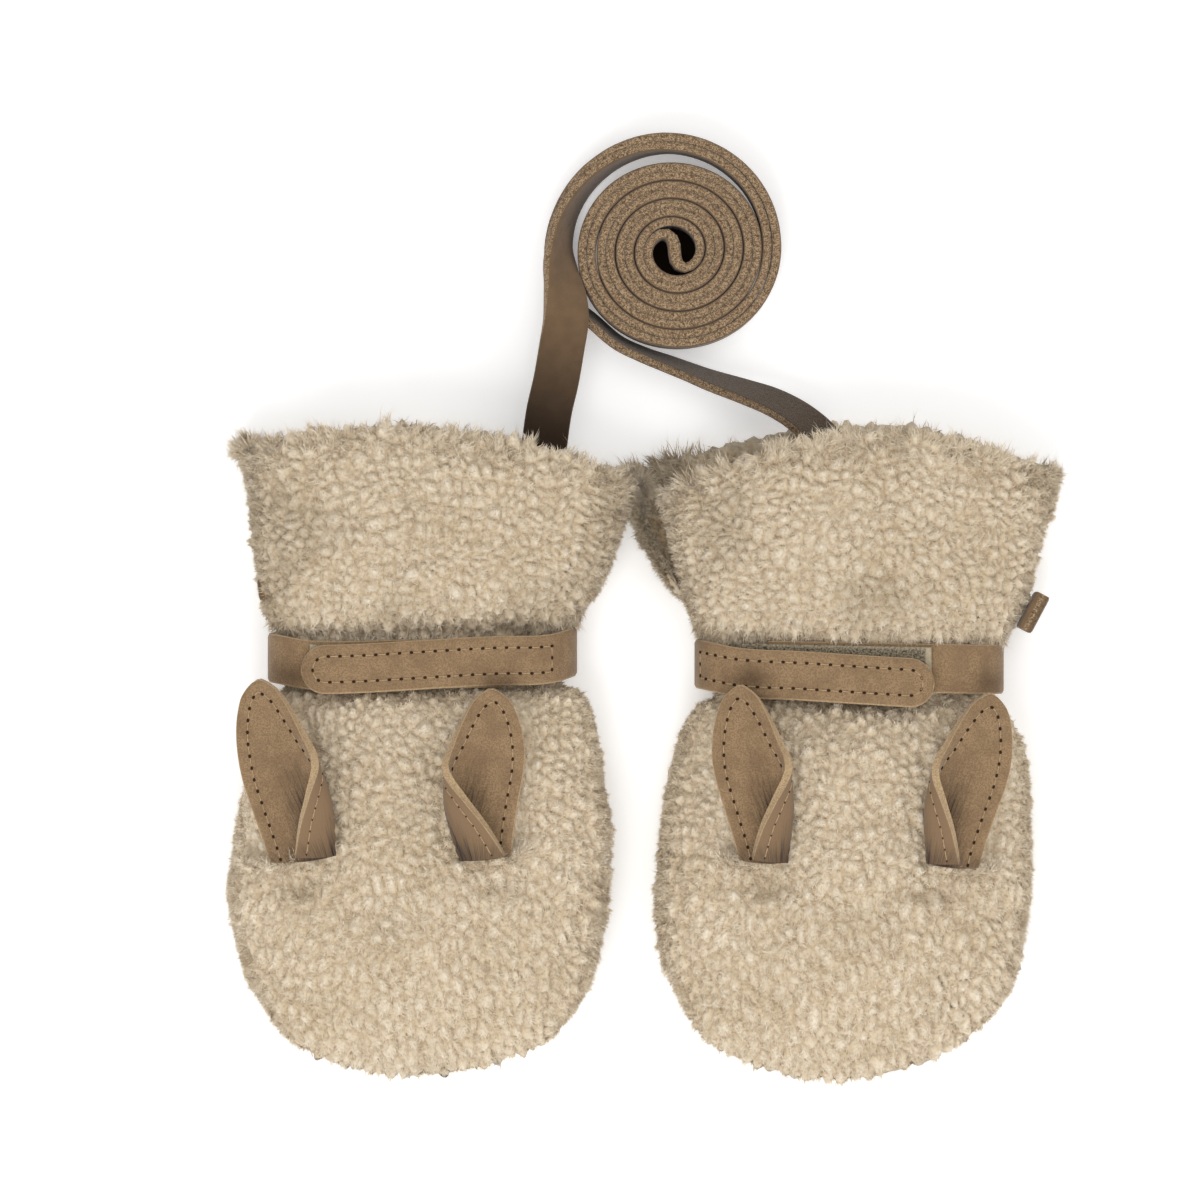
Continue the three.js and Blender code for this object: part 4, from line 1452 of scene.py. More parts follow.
    def grow(self, shape: Shape, random: np.random.Generator, count: int, bent: bool) -> None:
        """Grow one kind of strand. It winds round its curl and goes with the nap.

        Args:
            shape: Takes the strands.
            random: Source of chance.
            count: How many strands.
            bent: Whether each bends in its middle, or is one fine straight fibre.
        """
        row, column = self.pick_roots(random, count)
        root = self.sample(self.skin, row, column)
        normal = unit(self.sample(self.normal, row, column))
        along = unit(self.sample(self.along, row, column))
        over = unit(self.sample(self.over, row, column))
        i, j = np.rint(row).astype(int), np.rint(column).astype(int)
        way = self.way[i, j]
        own, curl, side_share, collar, bare, corner = (grid[i, j][:, None] for grid in (
            self.own, self.curl, self.side_share(), self.collar, self.bare, self.corner))
        hand = smooth((-40.0 - root[:, 1:2]) / 30.0)
        mouth = self.mouth_share(row)[:, None]
        droop = (self.belt.overhang(root) * (row > self.lining_rows))[:, None]
        outward = np.where(row < self.inner_rows, 1.0, -1.0)[:, None] * along
        sideways = np.array([1.0, 0.0, 0.0]) * side_share
        seam = smooth((np.abs(side_share) - 0.9) / 0.08)
        nap = along * (0.15 + 0.5 * hand + droop) + sideways * (0.2 + 0.4 * seam)
        nap = nap * (1 - 0.7 * mouth) + outward * (0.55 * mouth)
        nap += np.array([0.0, 1.2, 0.3]) * collar
        nap += np.array([-0.9, 0.3, 0.8]) * bare + 0.5 * sideways * corner
        toward = way[:, :1] * over + way[:, 1:] * along
        swirl = (way[:, :1] * along - way[:, 1:] * over) * np.where(own > 0.5, 1.0, -1.0)
        stir = np.stack([self.layer(root, layer) for layer in
                         (Layer.STIR_X, Layer.STIR_Y, Layer.STIR_Z)], 1) - 0.5
        jitter = random.normal(0.0, 0.32 if bent else 0.45, (count, 3))
        jitter = jitter * (1 - 0.6 * mouth) + stir * (0.4 + 2.0 * mouth)
        toward = toward * (0.3 + 0.8 * mouth)
        swirl = swirl * (0.9 - 0.7 * mouth)
        lean = unit(normal * 0.45 + toward + swirl + nap * 0.7 + jitter)
        lift = np.maximum(0.0, 0.08 - np.sum(lean * normal, axis=1, keepdims=True))
        lean = unit(lean + normal * lift * 2)
        side = unit(np.cross(lean, normal) + random.normal(0.0, 0.25, (count, 3)))
        tuft = 0.3 + 1.5 * smooth(self.layer(root, Layer.LENGTH))[:, None]
        kind = self.pile.length
        length = (kind.base + kind.hand * hand + kind.mouth * mouth * tuft
                  + kind.over_strap * droop + kind.collar * collar + kind.bare * bare)
        length += kind.corner * corner * tuft
        length *= random.uniform(0.65, 1.2, (count, 1)) * (1.0 if bent else 0.8)
        length *= np.where(self.hidden(root), kind.under_leather, 1.0)[:, None]
        wide = side * random.uniform(0.075, 0.13, (count, 1))
        # Painted shade: strands are darker at the root and on low curls, paler towards the tip.
        tone = 0.3 + 0.5 * curl + random.normal(0.0, 0.06, (count, 1))
        if bent:
            bend = random.uniform(-0.6, 0.6, (count, 1)) + np.where(own > 0.5, 0.35, -0.35)
            half = root + lean * (length * 0.55) + (side * bend * 0.3 + nap * 0.08) * length
            tip = root + lean * length + (side * bend + nap * 0.2 - normal * 0.15) * length
            points = np.stack(
                [root - wide, root + wide, half - wide * 0.85, half + wide * 0.85, tip], 1)
            rise = np.array([0.0, 0.0, 0.22, 0.22, 0.42])
        else:
            points = np.stack([root - wide, root + wide, root + lean * length], 1)
            rise = np.array([0.05, 0.05, 0.4])
        points[..., 2] = np.maximum(points[..., 2], 0.03)
        corners = points.shape[1]
        start = np.arange(count)[:, None] * corners
        pile = np.clip(tone + rise, 0.0, 1.0)
        shape.add(
            points, start + [0, 1, 3, 2] if bent else None,
            start + ([2, 3, 4] if bent else [0, 1, 2]), pile=pile.ravel(),
            tuft=np.repeat(own, corners), soil=np.repeat(self.soil[i, j], corners))


# Leather


@dataclass
class Ear:
    """One bunny ear: a leaf of doubled leather, cupped, with its inner margin folded over."""

    name: str
    x: float
    y: float
    heading: float
    tilt: float
    flip: int
    close: float
    wide: float
    long: float
    gather: float
    sway: float
    pitch: float = -5.0
    thick: float = 2.0
    bow: float = 1.5
    pleats: float = 0.13
    dent: float = 0.16
    dent_inset: float = 2.7
    seam_inset: float = 2.6
    tip_length: float = 3.2
    tip_rows: int = 14
    rows: int = 72
    columns: int = 40

    def turned(self) -> tuple[Array, Array]:
        """Give the matrix that turns the ear, and where its base is."""
        heading, tilt, pitch = (math.radians(angle) for angle in
                                (self.heading, -self.tilt * self.flip, self.pitch))
        ch, sh, ct, st = math.cos(heading), math.sin(heading), math.cos(tilt), math.sin(tilt)
        cp, sp = math.cos(pitch), math.sin(pitch)
        about_z = np.array([[ch, -sh, 0], [sh, ch, 0], [0, 0, 1]])
        about_y = np.array([[ct, 0, st], [0, 1, 0], [-st, 0, ct]])
        about_x = np.array([[1, 0, 0], [0, cp, -sp], [0, sp, cp]])
        mirror = np.diag([self.flip, 1, 1])
        return about_z @ about_y @ about_x @ mirror, np.array([self.x, self.y, 0.0])

    def middle_grid(self) -> Array:
        """The leaf's middle surface in its own frame, rows from base to tip."""
        table = np.array(EAR_SECTIONS, dtype=float)
        places = np.linspace(0, len(table) - 1, 400)
        values = even_spline(table, places)
        end = values[-1, 0]
        turn = np.sin(np.linspace(0, np.pi / 2, self.tip_rows + 1)[1:])
        plain = np.linspace(0.0, end - self.tip_length, self.rows - self.tip_rows)
        reach = np.concatenate([plain, end - self.tip_length + self.tip_length * turn])
        lengths = np.interp(reach, values[:, 0], places)
        sections = even_spline(table, lengths)
        grid = []
        for length, *rest in sections:
            y = length * self.long
            (lx, cx, fx, tx), (lz, cz, fz, tz) = self.drawn(y, np.array(rest[::2])), rest[1::2]
            shut = self.close * max(0.0, 1.0 - y / 20.0)
            corners = np.array([[lx, y, lz], [cx, y, cz], [fx, y, fz], [tx - shut, y, tz]])
            past = max(0.0, length - end + 4.2) / 4.2
            round_off = math.sqrt(max(0.012, 1.0 - past**2))
            middle = np.array([-0.4, y, corners[:, 2].mean()])
            corners = middle + (corners - middle) * np.array([round_off, 1.0, round_off])
            line = rounded_line(corners, 0.05)
            share = np.linspace(0, 1, self.columns)
            row = read_at(share, np.linspace(0, 1, len(line)), line)
            row[:, 1] -= self.bow * (1.0 - (2.0 * share - 1.0) ** 2) * math.exp(-y / 4.0)
            grid.append(row)
        return np.array(grid)

    def drawn(self, y: float | Array, x: Array) -> Array:
        """Draw places across the leaf in towards its gathered base."""
        near = np.maximum(0.0, 1.0 - y / GATHER_REACH)
        return x * self.wide * (1.0 - self.gather * near) + self.sway * self.flip * near**2

    def covers(self, points: Array) -> Array:
        """Tell which points of the pile the ear lies over."""
        turn, base = self.turned()
        local = (points - base) @ turn
        table = np.array(EAR_SECTIONS, dtype=float)
        y, lengths = local[:, 1], table[:, 0] * self.long
        left = self.drawn(y, np.interp(y, lengths, table[:, 1]))
        right = self.drawn(y, np.interp(y, lengths, np.maximum(table[:, 5], table[:, 7])))
        inside = (local[:, 0] > left - 0.3) & (local[:, 0] < right + 0.3)
        return inside & (y > -0.5) & (y < lengths[-1])

    def collar(self, points: Array) -> Array:
        """Share from 0 to 1 of the ridge of fleece against the ear's base."""
        turn, base = self.turned()
        local = (points - base) @ turn
        ends = self.drawn(0.0, np.array([EAR_SECTIONS[0][1], EAR_SECTIONS[0][5]]))
        share = (local[:, 0] - ends[0]) / (ends[1] - ends[0]) * 2.0 - 1.0
        past = np.maximum(0.0, np.abs(share) - 1.0) * (ends[1] - ends[0]) / 2
        below = local[:, 1] + 1.5 + self.bow * np.maximum(0.0, 1.0 - share**2)
        return bell(below, 1.7) * bell(past, 1.5)

    def build(self, finishes: Finishes) -> None:
        """Make the leather leaf and its stitches."""
        grid = self.middle_grid()
        row_share = (grid[:, :1, 1] / grid[-1, 0, 1])
        column_share = np.linspace(0, 1, self.columns)[None, :]
        across = np.gradient(grid, axis=1)
        up = unit(np.cross(across, np.gradient(grid, axis=0)))
        fan = (column_share - 0.44) / (0.3 + row_share)
        pleat = np.sin(fan * 30.0 + np.sin(row_share * 23.0) * 0.9) * bell(row_share, 0.3)
        pleat = pleat * self.pleats * bell(column_share - 0.42, 0.2)
        grid = grid + up * pleat[..., None]
        from_edge = self.edge_distance(grid)
        thin = np.clip(from_edge / 0.3, 0.82, 1.0)
        dent = self.dent * bell(from_edge - self.dent_inset, 0.5)
        half = (self.thick / 2) * thin
        upper = grid + up * (half - dent)[..., None]
        lower = grid - up * (half - dent)[..., None]
        turn, base = self.turned()
        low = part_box(self.name)[0]
        placed = [side @ turn.T + base for side in (upper, lower)]
        floor = min(side[..., 2].min() for side in placed)
        lift = np.array([0.0, 0.0, low[2] / MM - SHIFT[2] - floor])
        placed = [side + lift for side in placed]
        shade = bell(row_share, 0.4) * bell(column_share - 0.52, 0.17)
        shade += 0.3 * bell(row_share, 0.07) * np.ones_like(shade)
        edge = np.clip(1.0 - from_edge / 0.35, 0.0, 1.0)
        marks = {
            "shade": np.clip(shade, 0.0, 1.0), "edge": edge,
            "fan": np.broadcast_to(fan * 26.0, edge.shape),
            "reach": np.broadcast_to(row_share * 5.0, edge.shape),
        }
        shape = Shape()
        if self.flip < 0:
            placed = [side[:, ::-1] for side in placed]
            marks = {name: value[:, ::-1] for name, value in marks.items()}
        sandwich(shape, placed[0][::-1], placed[1][::-1], -0.22,
                 **{name: value[::-1] for name, value in marks.items()})
        leaf = settle(
            shape.piece(self.name + "_leather", [finishes.leather], True), Slot.LEATHER, self.name)
        stitches = self.sew(grid, up, turn, base + lift, finishes)
        logging.info("%s: %d points", self.name, len(leaf.data.vertices))

    def edge_distance(self, grid: Array) -> Array:
        """How far each place is from the leaf's cut edge, its base aside."""
        step = np.linalg.norm(np.diff(grid, axis=1), axis=-1)
        reach = np.concatenate([np.zeros((self.rows, 1)), np.cumsum(step, axis=1)], axis=1)
        spread = reach - reach[:, -1:] * 0.45
        flat = np.stack([spread, grid[..., 1]], axis=-1)
        rim = np.concatenate([flat[:, 0], flat[-1], flat[:, -1]])
        away = flat.reshape(-1, 1, 2) - rim[None]
        return np.linalg.norm(away, axis=-1).min(axis=1).reshape(grid.shape[:2])

    def sew(self, grid: Array, up: Array, turn: Array, base: Array,
            finishes: Finishes) -> Piece:
        """Stitch round the leaf inside its edge: the thread shows on both faces."""
        inset = self.seam_inset
        away = self.edge_distance(grid)
        left, right = [], []
        for row in range(1, self.rows):
            inner = np.flatnonzero(away[row] >= inset)
            if len(inner):
                for found, side in ((left, inner[0]), (right, inner[-1])):
                    before = side - 1 if found is left else side + 1
                    share = (inset - away[row, before]) / (away[row, side] - away[row, before])
                    found.append((row, before + (side - before) * share))
        path = np.array(left + right[::-1])
        lower = path[:, 1].astype(int)
        part = (path[:, 1] - lower)[:, None]
        ahead = np.minimum(lower + 1, self.columns - 1)
        row = path[:, 0].astype(int)
        shape = Shape()
        for side, stitching in ((1.0, Stitching()), (-1.0, Stitching(hole=0.17))):
            surface = grid + up * side * (self.thick / 2 - 0.14)
            line = surface[row, lower] * (1 - part) + surface[row, ahead] * part
            line, way = line @ turn.T + base, up[row, lower] @ turn.T * side
            both = divide(np.hstack([line, way]), SEAM_STEP)
            stitching.sew(shape, both[:, :3], both[:, 3:])
        made = shape.piece(self.name + "_stitches", [finishes.thread, finishes.hole])
        return settle(made, Slot.LEATHER)


@dataclass
class Belt:
    """One wrist strap: leather once round the wrist, with a round-ended stitched tab on top."""

    name: str
    centre: float
    closing: int
    y: float
    tilt: float
    slant: float
    tab_end: float
    tape_end: float
    seam_end: float
    sag: float = 0.0
    # Places of painted shadows that the ear tips cast on the strap.
    tip_shadows: tuple[tuple[float, float], ...] = ()
    step: float = 1.1
    columns: int = 13
    seam_row: float = 2.95

    def line_y(self, x: Array, layer: Array | float, front: Array | float = 1.0) -> Array:
        """Where the strap's middle line lies along the mitten.

        Args:
            x: Places across, towards the closing side.
            layer: 1 for the tab, which is closed askew, and 0 for the rest.
            front: 1 over the mitten, where the tab has pulled the rest askew, and 0 under it.

        Returns:
            Places along the mitten.
        """
        askew = SKEW_AT_BEND + (1.0 - SKEW_AT_BEND) * smooth((20.0 - x) / 40.0)
        pulled = smooth((x + 38.0) / 16.0) * smooth((37.0 - x) / 12.0) * (1.0 - layer) * front
        level = self.y + self.tilt * x / BELT_HALF_LOOP
        return level + self.slant * layer * askew + self.sag * pulled

    def away(self, x: Array, y: Array, layer: float, face: Face = Face.FRONT) -> Array:
        """How far places are from the strap's middle line, along the mitten."""
        front = 1.0 if face is Face.FRONT else 0.0
        return np.abs(y - self.line_y((x - self.centre) * self.closing, layer, front))

    def under(self, x: Array, y: Array, face: Face) -> Array:
        """Tell which places the strap presses flat."""
        return self.away(x, y, 0.0, face) < STRAP_WIDTH / 2 + 0.1

    def nearness(self, x: Array, y: Array, face: Face, reach: float = 6.6) -> Array:
        """Share from 0 to 1 that grows towards the strap."""
        return bell(self.away(x, y, 0.0, face), reach, 8)

    def overhang(self, points: Array) -> Array:
        """Share from 0 to 1 of the cuff's fleece that hangs over the strap's upper edge."""
        line = self.line_y((points[:, 0] - self.centre) * self.closing, 0.0)
        return bell(points[:, 1] - line - STRAP_WIDTH / 2 - 1.6, 2.2) * (points[:, 2] > SEAM_Z)

    def tab_covers(self, points: Array) -> Array:
        """Tell which points lie under the tab."""
        x = (points[:, 0] - self.centre) * self.closing
        near = self.away(points[:, 0], points[:, 1], 1.0) < STRAP_WIDTH / 2 + 0.4
        return near & (x > self.tab_end - 0.5) & (points[:, 2] > SEAM_Z)

    def stations(self) -> tuple[Array, Array, Array]:
        """The strap's middle line with its width's and thickness's directions."""
        path = np.array(((self.tab_end, BELT_PATH[0][1], 1),) + BELT_PATH, dtype=float)
        points = np.stack([
            self.centre + self.closing * path[:, 0],
            self.line_y(path[:, 0], path[:, 2], smooth((path[:, 1] - 4.0) / 9.0)),
            path[:, 1],
        ], axis=1)
        radius = STRAP_WIDTH / 2
        line = rounded_line(points, 0.25)
        reach = reach_of(line)
        start = radius * (1.0 - np.cos(np.linspace(0, np.pi / 2, 14)))
        rest = np.arange(radius + self.step, reach[-1], self.step)
        self.places = np.concatenate([start, rest, [reach[-1]]])
        line = read_at(self.places, reach, line)
        line[:, 2] = np.maximum(line[:, 2], STRAP_THICK / 2 + 0.02)
        along = tangents(line) * np.array([1.0, 0.0, 1.0])
        width = np.broadcast_to([0.0, 1.0, 0.0], line.shape)
        return line, width, unit(np.cross(unit(along), width)) * self.closing

    def build(self, finishes: Finishes) -> None:
        """Make the strap and its stitches."""
        line, width, thick = self.stations()
        radius = STRAP_WIDTH / 2
        short = np.maximum(0.0, radius - self.places)
        half = np.maximum(0.25, np.sqrt(np.maximum(0.0, radius**2 - short**2)))
        share = np.sin(np.linspace(-np.pi / 2, np.pi / 2, self.columns))
        across = share[None, :] * half[:, None]
        from_edge = np.minimum(half[:, None] - np.abs(across), self.places[:, None])
        wave = (lumps(line, 9.0, 5) - 0.5)[:, None] * 0.35
        dent = self.dent(across)
        middle = line[:, None, :] + width[:, None, :] * across[..., None]
        half_thick = STRAP_THICK / 2 * rounded(from_edge, 0.4, 0.62)
        upper = middle + thick[:, None, :] * (half_thick - dent + wave * 0.3)[..., None]
        lower = middle - thick[:, None, :] * half_thick[..., None]
        bright = np.where(across < 0, 0.85, 0.4)
        edge = np.clip(1.0 - from_edge / bright, 0.0, 1.0)
        shade = np.zeros_like(edge)
        # Painted shadow of each ear tip on the strap's upper face.
        for x, y in self.tip_shadows:
            tip_shadow = spot(middle[..., 0], middle[..., 1], (x, y), (3.6, 2.6))
            shade += 0.6 * tip_shadow * (middle[..., 2] > SEAM_Z)
        shape = Shape()
        order = slice(None, None, self.closing)
        sandwich(shape, upper[:, order], lower[:, order], 0.05, edge=edge[:, order],
                 shade=shade[:, order])
        name = f"{self.name}_wrist_strap"
        strap = settle(shape.piece(name + "_leather", [finishes.leather]), Slot.LEATHER, name)
        stitches = self.sew(line, width, thick, finishes)
        logging.info("%s: strap %.0f mm long", self.name, self.places[-1])

    def dent(self, across: Array) -> Array:
        """How far the stitches pull the tab's face down."""
        on_tab = (self.places < self.seam_end)[:, None]
        return 0.14 * bell(np.abs(across) - self.seam_row, 0.45) * on_tab

    def sew(self, line: Array, width: Array, thick: Array, finishes: Finishes) -> Piece:
        """Stitch round the tab and across it where the tape ends."""
        radius = STRAP_WIDTH / 2
        angle = np.linspace(np.pi / 2, 3 * np.pi / 2, 24)
        bend = np.stack([radius + self.seam_row * np.cos(angle), self.seam_row * np.sin(angle)], 1)
        run = np.linspace(self.seam_end, radius, 60)
        across = np.linspace(-self.seam_row, self.seam_row, 8)
        route = np.vstack([
            np.stack([run, np.full(60, self.seam_row)], 1),
            bend[1:-1],
            np.stack([run[::-1], np.full(60, -self.seam_row)], 1),
            np.stack([np.full(8, self.seam_end), across], 1)[1:],
        ])
        table = np.hstack([line, width, thick])
        values = read_at(route[:, 0], self.places, table)
        way = unit(values[:, 6:9])
        points = values[:, :3] + values[:, 3:6] * route[:, 1:] + way * (STRAP_THICK / 2 - 0.12)
        both = divide(np.hstack([points, way]), SEAM_STEP)
        shape = Shape()
        Stitching().sew(shape, both[:, :3], unit(both[:, 3:]), closed=True)
        made = shape.piece(f"{self.name}_wrist_strap_stitches", [finishes.thread, finishes.hole])
        return settle(made, Slot.LEATHER)


@dataclass
class ClosureTape:
    """Hook-and-loop tape between the strap's layers: a woven strip with loops round its edges."""

    name: str
    belt: Belt
    end: float = 25.0
    width: float = 9.6
    height: float = 19.95
    thick: float = 0.9
    rows: int = 120
    columns: int = 26
    loop_count: int = 900

    def top(self, along: Array) -> Array:
        """How high the tape lies, lower towards the strap's bend."""
        return self.height - 0.95 * smooth((along - 17.0) / 8.0)

    def build(self, finishes: Finishes) -> None:
        """Make the tape and its loops."""
        rows, columns = self.rows, self.columns
        belt = self.belt
        along = np.linspace(belt.tape_end, self.end, rows)
        across = np.linspace(-self.width / 2, self.width / 2, columns)
        x = belt.centre + belt.closing * along[:, None] * np.ones((1, columns))
        y = belt.line_y(along, 0.0)[:, None] + across[None, :]
        grid = np.stack([x, y, self.top(along)[:, None] * np.ones(x.shape)], axis=-1)
        flat = grid.reshape(-1, 3)
        weave = ((lumps(flat, 0.6, 31) - 0.5) * 0.2).reshape(rows, columns)
        up = np.array([0.0, 0.0, 1.0])
        upper = grid + up * (self.thick / 2 - 0.1 + weave)[..., None]
        lower = grid - up * (self.thick / 2)
        shape = Shape()
        order = slice(None, None, belt.closing)
        hem = smooth((belt.tape_end + 1.6 - along) / 0.6)[:, None] * np.ones((1, columns))
        hem = np.maximum(hem, 0.7 * smooth((np.abs(across) - self.width / 2 + 0.5) / 0.3)[None, :])
        sandwich(shape, upper[:, order], lower[:, order], 0.1, hem=hem[:, order])
        self.loops(shape)
        name = f"{self.name}_closure_tape"
        settle(shape.piece(name + "_loops", [finishes.tape]), Slot.TAPE, name)

    def loops(self, shape: Shape) -> None:
        """Add small loops that stand out of the tape's long edges."""
        random = np.random.default_rng(41)
        count = self.loop_count
        along = random.uniform(self.belt.tape_end, self.end, count)
        side = np.where(random.random(count) < 0.5, -1.0, 1.0)
        root = np.stack([
            self.belt.centre + self.belt.closing * along,
            self.belt.line_y(along, 0.0) + side * (self.width / 2 - 0.2),
            self.top(along) + random.uniform(-0.3, 0.4, count),
        ], axis=1)
        out = np.stack([random.normal(0, 0.5, count), side, random.normal(0.1, 0.4, count)], axis=1)
        tip = root + unit(out) * random.uniform(0.4, 0.9, count)[:, None]
        wide = unit(np.cross(out, [0.0, 0.0, 1.0])) * 0.09
        points = np.stack([root - wide, root + wide, tip], axis=1)
        tris = np.arange(count * 3).reshape(-1, 3)
        shape.add(points, None, tris)


@dataclass
class SideTab:
    """A small leather end that comes out of the outer side seam."""

    name: str
    x: float
    y: float
    turn: float
    size: tuple[float, float, float]
    inward: int
    root: float = 3.0

    def build(self, finishes: Finishes) -> None:
        """Make the tab as a thick strip with soft edges, its root in the seam."""
        thick, length, height = self.size
        thick += self.root
        rows, columns = 16, 14
        along = np.linspace(-length / 2, length / 2, rows)
        rise = np.linspace(-height / 2, height / 2, columns)
        angle = math.radians(self.turn)
        way = np.array([-math.sin(angle), math.cos(angle), 0.0])
        out = np.array([math.cos(angle), math.sin(angle), 0.0])
        centre = np.array([self.x, self.y, SEAM_Z]) + out * self.inward * self.root / 2
        middle = (centre + along[:, None, None] * way
                  + rise[None, :, None] * np.array([0.0, 0.0, 1.0]))
        from_edge = np.minimum(length / 2 - np.abs(along)[:, None],
                               height / 2 - np.abs(rise)[None, :])
        half = thick / 2 * rounded(from_edge, 0.4, 0.85)
        shape = Shape()
        sandwich(shape, middle - out * half[..., None], middle + out * half[..., None], 0.05)
        made = shape.piece(self.name + "_leather", [finishes.suede], True)
        settle(made, Slot.LEATHER, self.name)


@dataclass
class JoiningStrap:
    """The long strap that joins the pair, folded in its middle and wound on edge."""

    step: float = 1.6
    columns: int = 9
    thick: float = 2.08
    heart_swell: float = 0.42
    pull: float = 0.055
    left_steps: int = 60
    left_shade: float = 0.85
    right_steps: int = 70
    right_shade: float = 0.48

    def arm_point(self, arm: int, turn: Array) -> Array:
        """Places on one of the strap's two arms in the coil.

        Args:
            arm: 0 for the arm to the left mitten, 1 for the arm to the right one.
            turn: Degrees from the coil's right.

        Returns:
            Places on the surface.
        """
        start = 180 + 180 * arm
        free_from = 1440 + 360 * arm
        loose = smooth((turn - free_from) / 110.0) * SLACK
        pressed = (1.0 - smooth((turn - free_from + 240.0) / 200.0)) * self.pull
        pressed = pressed * (1 if arm == 0 else -1)
        radius = FIRST_RADIUS + LAYER_PITCH * (turn - start) / 180.0 + loose + pressed
        angle = np.radians(turn)
        squash = 1.0 - COIL_SQUASH * np.sin(angle) ** 2
        return np.stack([
            COIL_CENTRE[0] + radius * squash * np.cos(angle),
            COIL_CENTRE[1] + radius * squash * np.sin(angle),
        ], axis=-1)

    def arm(self, number: int, leaving: tuple, free: tuple) -> Array:
        """One arm from the coil's heart to its end in a cuff, as x, y, height and lean."""
        sign = 1 if number == 0 else -1
        heart = [(COIL_CENTRE[0] + sign * x, COIL_CENTRE[1] + sign * y, CORD_WIDTH / 2, 0.0)
                 for x, y in COIL_HEART[number:]]
        turns = np.arange(FIRST_TURN + 180 * number, leaving[0][0] - 4.0, 6.0)
        coil = np.hstack([self.arm_point(number, turns),
                          np.tile([CORD_WIDTH / 2, 0.0], (len(turns), 1))])
        table = np.array(leaving, dtype=float)
        fine = np.linspace(table[0, 0], table[-1, 0], 15)
        away = np.hstack([self.arm_point(number, fine), read_at(fine, table[:, 0], table[:, 1:])])
        return np.vstack([heart, coil, away, np.array(free, dtype=float)])

    def build(self, finishes: Finishes) -> None:
        """Make the strap as one strip from cuff to cuff."""
        left = self.arm(0, LEFT_LEAVING, LEFT_FREE)
        right = self.arm(1, RIGHT_LEAVING, RIGHT_FREE)
        side = np.concatenate([-np.ones(len(left)), np.ones(len(right))])
        route = np.hstack([np.vstack([left[::-1], right]), side[:, None]])
        line = rounded_line(route, self.step)
        place, lean = line[:, :3], np.radians(line[:, 3])
        travel = tangents(place)
        level = unit(travel * np.array([1.0, 1.0, 0.0]))
        right_hand = np.stack([level[:, 1], -level[:, 0], np.zeros(len(level))], axis=1)
        sign = np.sign(line[:, 4])[:, None]
        width = right_hand * sign * np.sin(lean)[:, None]
        width[:, 2] = np.cos(lean)
        thick = unit(np.cross(travel, width))
        share = np.sin(np.linspace(-np.pi / 2, np.pi / 2, self.columns))
        across = share * CORD_WIDTH / 2
        from_edge = CORD_WIDTH / 2 - np.abs(across)
        heart = bell(np.linalg.norm(place[:, :2] - COIL_CENTRE, axis=1), 4.2, 4)
        full = (self.thick / 2 + self.heart_swell * heart)[:, None]
        half, flesh_half = (full * rounded(from_edge, 0.3, least) for least in (0.72, 0.95))
        middle = place[:, None, :] + width[:, None, :] * across[None, :, None]
        flat = middle.reshape(-1, 3)
        rough = ((lumps(flat, 1.1, 51) - 0.5) * 0.1).reshape(middle.shape[:2])
        upper = middle + thick[:, None, :] * (half + rough * 0.4)[..., None]
        lower = middle - thick[:, None, :] * (flesh_half + rough * 0.2)[..., None]
        for grid in (upper, lower):
            grid[..., 2] = np.maximum(grid[..., 2], 0.03)
        edge = np.broadcast_to(np.clip(1.0 - from_edge / 0.3, 0.0, 1.0) * 0.8, middle.shape[:2])
        shape = Shape()
        # Painted shade: the runs darken towards the cuffs, the left run most, and the right run a
        # little all along.
        left_end = np.arange(len(place)) < self.left_steps
        right_end = np.arange(len(place)) > len(place) - self.right_steps
        deep = (0.12 * right_end + (self.left_shade * left_end + self.right_shade * right_end)
                * smooth((72.0 - place[:, 1]) / 34.0))
        deep = deep[:, None] * np.ones(self.columns)
        sandwich(shape, upper, lower, 0.08, edge=edge, shade=deep)
        nodes = ("joining_strap_coil", "joining_strap_left_run", "joining_strap_right_run")
        strap = settle(shape.piece("joining_strap", [finishes.suede]), Slot.SUEDE, *nodes)


@dataclass
class Mitten:
    """One mitten with everything that is sewn on it."""

    side: str
    front: tuple
    back: tuple
    ears: tuple[Ear, ...]
    dimples: tuple[tuple[float, float], ...]
    belt: Belt
    tab: SideTab
    seed: int

    def build(self, finishes: Finishes) -> None:
        """Make the panels, ears, strap, tape and tab."""
        shows = self.front is not self.back
        front = ShearlingPanel(
            f"{self.side}_front_shearling", f"{self.side}_front_panel",
            PanelForm(self.front, Face.FRONT), Pile(0.56, 30000, 90000, seed=self.seed),
            self.dimples, self.ears, self.belt, (0.118, 0.172, 0.0186),
        )
        back = ShearlingPanel(
            f"{self.side}_back_shearling", f"{self.side}_back_panel",
            PanelForm(self.back, Face.BACK, lining_depth=36.0 if shows else 15.0),
            Pile(0.95, 7000, 27000, seed=self.seed + 40),
            (), (), self.belt, (0.112, 0.172, 0.0176), shows,
        )
        front.build(finishes)
        back.build(finishes)
        for ear in self.ears:
            ear.build(finishes)
        self.belt.build(finishes)
        ClosureTape(self.side, self.belt).build(finishes)
        self.tab.build(finishes)


